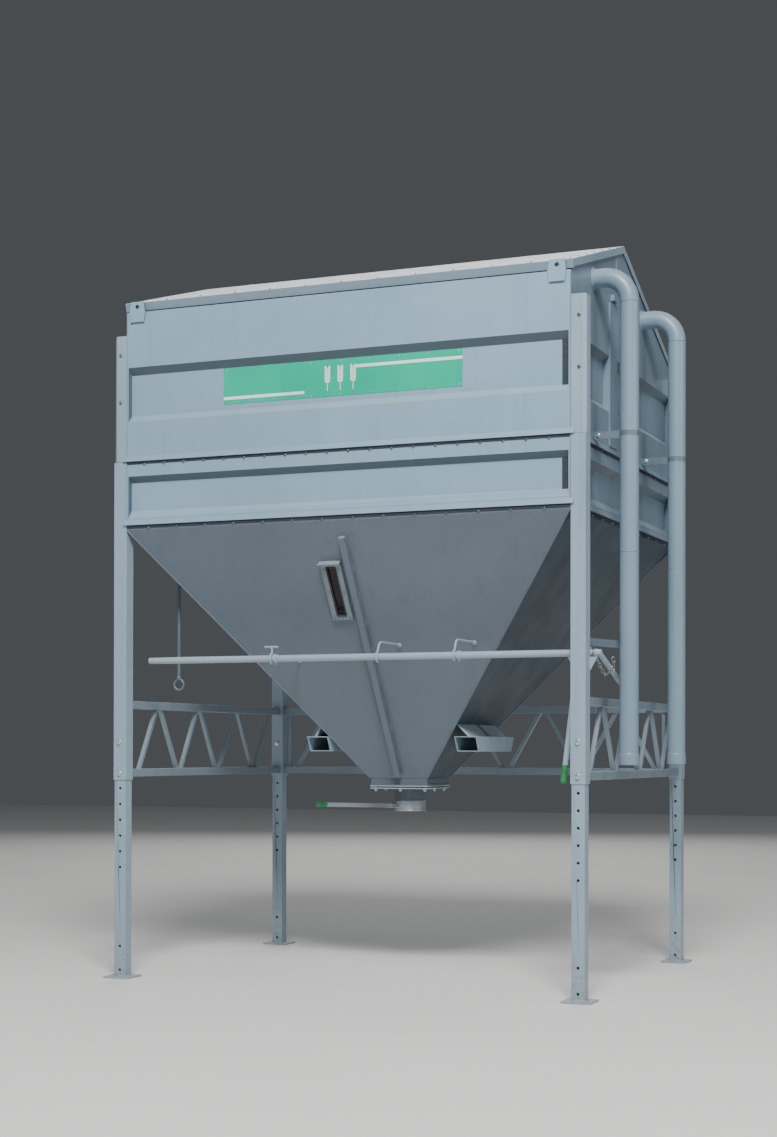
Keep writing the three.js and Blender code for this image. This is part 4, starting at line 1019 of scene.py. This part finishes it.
# Operating shaft. A round bar across the front turns in eyes on hooked arms from the hopper. Its
# right end is cranked, and a hand lever hangs from it. Collars with set screws keep it in place.
shaft_joint = next(joint for joint in frame["joints"] if joint["child"] == "shaft")
SHAFT_Y, SHAFT_Z = shaft_joint["pos_m"][1], shaft_joint["pos_m"][2]
SHAFT_RADIUS = 0.021
SHAFT_END = 0.0195
LEVER_RADIUS = 0.016
CRANK_LENGTH = 0.480
CRANK_DROP = math.radians(19.5)
CRANK_X = MIDDLE_X + 1.600
LEVER_X = MIDDLE_X + 1.476
LEVER_LEAN = math.radians(6.9)
LEVER_LENGTH = 0.762
GRIP_LENGTH = 0.110
GRIP_RADIUS = 0.020
LEVER_SOCKET = [(0, 0.024), (0.004, 0.0235), (0.012, 0.018)]
CRANK_BOSS = [(0, 0.021), (0.003, 0.0245), (0.008, 0.0215)]
PAST_CRANK, BOSS_OFF, SOCKET_OFF = 0.014, 0.018, 0.020
COLLAR_PLACES = (-0.481, 0.730)
SHAFT_COLLAR = [(0, 0.0245), (0.002, 0.0265), (0.022, 0.0265), (0.024, 0.0245)]
SET_SCREW = [(0, 0.005), (0.009, 0.005), (0.011, 0.004)]
SCREW_ALONG, SCREW_BELOW = 0.012, 0.025
shaft_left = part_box("operating_shaft")[0].x
shaft_enamel = sprayed_enamel("shaft_enamel", (0.300, 0.395, 0.470), streaks=0.15)


def on_shaft(x):
    return Vector((x, SHAFT_Y, SHAFT_Z))


solid = bmesh.new()
crank_start = on_shaft(CRANK_X)
path = straight(on_shaft(shaft_left), crank_start + X_AXIS * PAST_CRANK, 12)
add_swept(solid, path, [SHAFT_END] + [SHAFT_RADIUS] * 11 + [SHAFT_END], sides=32)
crank_way = Vector((0, math.cos(CRANK_DROP), -math.sin(CRANK_DROP)))
path = straight(crank_start, crank_start + crank_way * CRANK_LENGTH)
add_swept(solid, path, [LEVER_RADIUS] * 6 + [LEVER_RADIUS * 0.9], sides=28)
lever_down = Vector((-math.sin(LEVER_LEAN), 0, -math.cos(LEVER_LEAN)))
lever_start = on_shaft(LEVER_X)
grip_start = lever_start + lever_down * (LEVER_LENGTH - GRIP_LENGTH)
add_swept(solid, straight(lever_start, grip_start), LEVER_RADIUS, sides=28)
add_turned(solid, lever_start + lever_down * SOCKET_OFF, lever_down, LEVER_SOCKET, 28)
add_turned(solid, crank_start - X_AXIS * BOSS_OFF, X_AXIS, CRANK_BOSS, 28)
piece = make_piece("shaft_and_lever", solid, shaft_enamel, body="shaft", sharp=40)
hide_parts("operating_shaft")

solid = bmesh.new()
for x in COLLAR_PLACES:
    seat = on_shaft(MIDDLE_X + x)
    add_turned(solid, seat, X_AXIS, SHAFT_COLLAR, 32)
    add_turned(solid, seat + X_AXIS * SCREW_ALONG - Z_AXIS * SCREW_BELOW, -Z_AXIS, SET_SCREW, 6)
make_piece("shaft_collars", solid, shaft_enamel, body="shaft")

solid = bmesh.new()
add_grip(solid, grip_start + lever_down * SET_IN, lever_start + lever_down * LEVER_LENGTH, GRIP_RADIUS)
piece = make_piece("lever_hand_grip", solid, grip_green, body="shaft")
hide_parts("lever_grip")


# Shaft eyes. Each is one round bar, welded to the hopper plate, run out to the shaft and bent round
# it as an open hook. The left one runs level with the shaft and has a short stem with a cross pin on
# top, and the others come down from above.
EYE_BAR = 0.007
EYE_BEND = SHAFT_RADIUS + 0.0007 + EYE_BAR
EYE_FOOT = [(0, 0.016), (0.010, 0.014), (0.016, 0.009)]
KNEE_OFF, KNEE_RADIUS, KNEE_TURN = 0.055, 0.050, 62
ARM_DROP, ARM_SUNK, ARM_SET = 0.030, 0.004, 0.006
STEM_TOP = 0.072
PIN_LEFT, PIN_RIGHT = 0.050, 0.042
HUNG_TURNS, LEVEL_TURNS = (100, 385), (25, 330)
for eye in ("left", "middle", "right"):
    low_corner, high_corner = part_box("shaft_eye_" + eye)
    x = (low_corner.x + high_corner.x) / 2
    arm_z = high_corner.z - ARM_DROP
    plate_y = high_corner.y
    path = [(x, plate_y + ARM_SUNK, arm_z)]
    if arm_z > SHAFT_Z + 0.02:
        knee = SHAFT_Y + KNEE_OFF
        path += [(x, plate_y - 0.1, arm_z), (x, knee, arm_z)]
        centre = (x, knee, arm_z - KNEE_RADIUS)
        path += arc(centre, KNEE_RADIUS, 0, KNEE_TURN, 6, Z_AXIS, -Y_AXIS)[1:-1]
        turns = HUNG_TURNS
    else:
        path += [(x, (plate_y + SHAFT_Y) / 2, arm_z), (x, SHAFT_Y + EYE_BEND + 0.02, arm_z)]
        turns = LEVEL_TURNS
    path += arc(on_shaft(x), EYE_BEND, *turns, 18, Y_AXIS, Z_AXIS)
    solid = bmesh.new()
    add_swept(solid, path, EYE_BAR, sides=16)
    add_turned(solid, (x, plate_y + ARM_SET, arm_z), -Y_AXIS, EYE_FOOT, 20)
    if eye == "left":
        stem_top = on_shaft(x) + Z_AXIS * STEM_TOP
        add_swept(solid, [on_shaft(x) + Z_AXIS * EYE_BEND, stem_top], EYE_BAR, sides=16)
        pin = [stem_top - X_AXIS * PIN_LEFT, stem_top, stem_top + X_AXIS * PIN_RIGHT]
        add_swept(solid, pin, EYE_BAR)
    piece = make_piece("shaft_hook_" + eye, solid, shaft_enamel, sharp=50)
    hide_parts("shaft_eye_" + eye)


# Hanging rod. A round bar hangs from a square foot that is welded under the left hopper plate. At its
# lower end a short boss carries a forged eye.
ROD_X, ROD_Y = MIDDLE_X - 1.300, -0.790
ROD_RADIUS = 0.011
ROD_EYE_RADIUS, ROD_EYE_BAR = 0.034, 0.0075
ROD_BOSS = [(0, 0.011), (0.006, 0.015), (0.018, 0.015), (0.024, 0.010)]
ROD_FOOT_HALF, ROD_FOOT_LOW, ROD_FOOT_HIGH = 0.018, 0.058, 0.028
ROD_END_UP, ROD_EYE_UP, ROD_BOSS_UP = 0.084, 0.042, 0.012
rod_low, rod_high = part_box("hanging_rod")
rod_end = rod_low.z + ROD_END_UP
solid = bmesh.new()
path = [(ROD_X, ROD_Y, height) for height in (rod_high.z - 0.03, 2.3, rod_end - 0.004)]
add_swept(solid, path, ROD_RADIUS, sides=24)
path = circle((ROD_X, ROD_Y, rod_low.z + ROD_EYE_UP), ROD_EYE_RADIUS, 40, X_AXIS, Z_AXIS)
add_swept(solid, path, ROD_EYE_BAR, sides=14, closed=True)
add_turned(solid, (ROD_X, ROD_Y, rod_end + ROD_BOSS_UP), -Z_AXIS, ROD_BOSS, 24)
low = (ROD_X - ROD_FOOT_HALF, ROD_Y - ROD_FOOT_HALF, rod_high.z - ROD_FOOT_LOW)
high = (ROD_X + ROD_FOOT_HALF, ROD_Y + ROD_FOOT_HALF, rod_high.z - ROD_FOOT_HIGH)
add_box(solid, low, high)
# The rod is painted dark, as painted shade.
rod_shade_enamel = sprayed_enamel("rod_shade_enamel", (0.090, 0.120, 0.150))
piece = make_piece("hanging_rod_bar", solid, rod_shade_enamel, sharp=40)
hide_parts("hanging_rod")


# Lever chain. A short welded chain of zinc-plated wire hangs in a loop from a ring round the shaft to
# the crank, and a second, shorter strand comes down beside the crank to meet it.
CHAIN_WIRE = 0.0035
LINK_LONG, LINK_WIDE = 0.036, 0.022
CHAIN_RING_RADIUS, CHAIN_RING_WIRE, CHAIN_RING_OFF = 0.0255, 0.0045, 0.030


def add_link(solid, centre, along, side):
    """One welded link: a long loop of wire lying in the plane of along and side."""
    path = []
    straight_half = (LINK_LONG - LINK_WIDE) / 2
    radius = LINK_WIDE / 2 - CHAIN_WIRE / 2
    for end in (1, -1):
        path += arc(centre + along * (end * straight_half), radius, -90, 90, 6, along * end, side * end)
    add_swept(solid, path, CHAIN_WIRE, sides=8, closed=True)


def add_chain(solid, route):
    """Links along a route of points, every other one turned a quarter."""
    step = LINK_LONG - 2.4 * CHAIN_WIRE
    left_over = 0.0
    turned = False
    for a, b in zip(route, route[1:]):
        a, b = Vector(a), Vector(b)
        along = (b - a).normalized()
        side = along.orthogonal().normalized()
        other = along.cross(side)
        walked = left_over
        while walked < (b - a).length:
            add_link(solid, a + along * walked, along, other if turned else side)
            turned = not turned
            walked += step
        left_over = walked - (b - a).length


LONG_STRAND = (
    (-0.016, -0.002, -0.030),
    (-0.004, 0.035, -0.074),
    (0.002, 0.110, -0.128),
    (0.004, 0.185, -0.104),
)
SHORT_STRAND = ((0.021, 0.225, -0.030), (0.021, 0.225, -0.080), (0.010, 0.215, -0.104))
solid = bmesh.new()
for strand in (LONG_STRAND, SHORT_STRAND):
    add_chain(solid, [crank_start + Vector(step) for step in strand])
path = circle(crank_start - X_AXIS * CHAIN_RING_OFF, CHAIN_RING_RADIUS, 28, Y_AXIS, Z_AXIS)
add_swept(solid, path, CHAIN_RING_WIRE, closed=True)
chain_zinc = bright_zinc("chain_zinc", (0.30, 0.31, 0.31), rust=0.35)
make_piece("lever_chain", solid, chain_zinc, body="shaft", sharp=60)


# Studio. A plain pale floor under even, soft light, and a camera where the photograph was taken,
# low in front of the right leg and about twelve metres away.
EYE = Vector((MIDDLE_X + 4.678, -11.579, 1.4495))
YAW, PITCH, ROLL = 0.3955, 0.004, 0.0019
PHOTO_HEIGHT = 1137
FOCAL_PIXELS = 1890.95
HORIZON_ROW = 741.9
SENSOR = 36
FLOOR_REACH = 30.0
SKY_COLOUR, SKY_STRENGTH = (0.86, 0.93, 1.0, 1), 0.085

solid = bmesh.new()
sides = oblong(-FLOOR_REACH, -FLOOR_REACH, FLOOR_REACH, FLOOR_REACH)
solid.faces.new([solid.verts.new((x, y, 0)) for x, y in sides])
mesh = bpy.data.meshes.new("floor")
solid.to_mesh(mesh)
solid.free()
floor = bpy.data.objects.new("floor", mesh)
bpy.context.scene.collection.objects.link(floor)
pale, tree, shader, place = new_finish("pale_floor")
skin = blended(tree, noise(tree, place, 0.8, 3.0), (0.76, 0.75, 0.73, 1), (0.82, 0.81, 0.79, 1))
set_sockets(tree, shader, {"Base Color": skin, "Roughness": 0.85})
mesh.materials.append(pale)

world = bpy.data.worlds.new("soft sky")
bpy.context.scene.world = world
world.use_nodes = True
sky = {"Color": SKY_COLOUR, "Strength": SKY_STRENGTH}
set_sockets(world.node_tree, world.node_tree.nodes["Background"], sky)


def add_softbox(name, place, target, size, power):
    light = bpy.data.lights.new(name, "AREA")
    light.shape = "DISK"
    light.size = size
    light.energy = power
    lamp = bpy.data.objects.new(name, light)
    lamp.location = place
    lamp.visible_camera = False
    lamp.rotation_mode = "QUATERNION"
    lamp.rotation_quaternion = (Vector(target) - Vector(place)).to_track_quat("-Z", "Y")
    bpy.context.scene.collection.objects.link(lamp)


add_softbox("key", (4.6, -11.2, 13.0), (0, 0, 2.6), 5.0, 3450)
add_softbox("fill", (-10.0, -9.0, 5.0), (0, 0, 2.6), 8.0, 120)
add_softbox("side", (14.0, -2.5, 6.5), (0, 0, 3.0), 4.0, 330)
add_softbox("sky behind", (-6.0, 16.0, 10.5), (0, 0, 4.2), 12.0, 900)

view = bpy.data.cameras.new("photograph")
view.sensor_width = SENSOR
view.lens = FOCAL_PIXELS * SENSOR / PHOTO_HEIGHT
view.shift_y = (HORIZON_ROW - PHOTO_HEIGHT / 2) / PHOTO_HEIGHT
camera = bpy.data.objects.new("photograph", view)
look = Vector((-math.sin(YAW) * math.cos(PITCH), math.cos(YAW) * math.cos(PITCH), math.sin(PITCH)))
camera.location = EYE
camera.rotation_mode = "QUATERNION"
roll = Matrix.Rotation(ROLL, 3, "Z").to_quaternion()
camera.rotation_quaternion = look.to_track_quat("-Z", "Y") @ roll
bpy.context.scene.collection.objects.link(camera)
bpy.context.scene.camera = camera
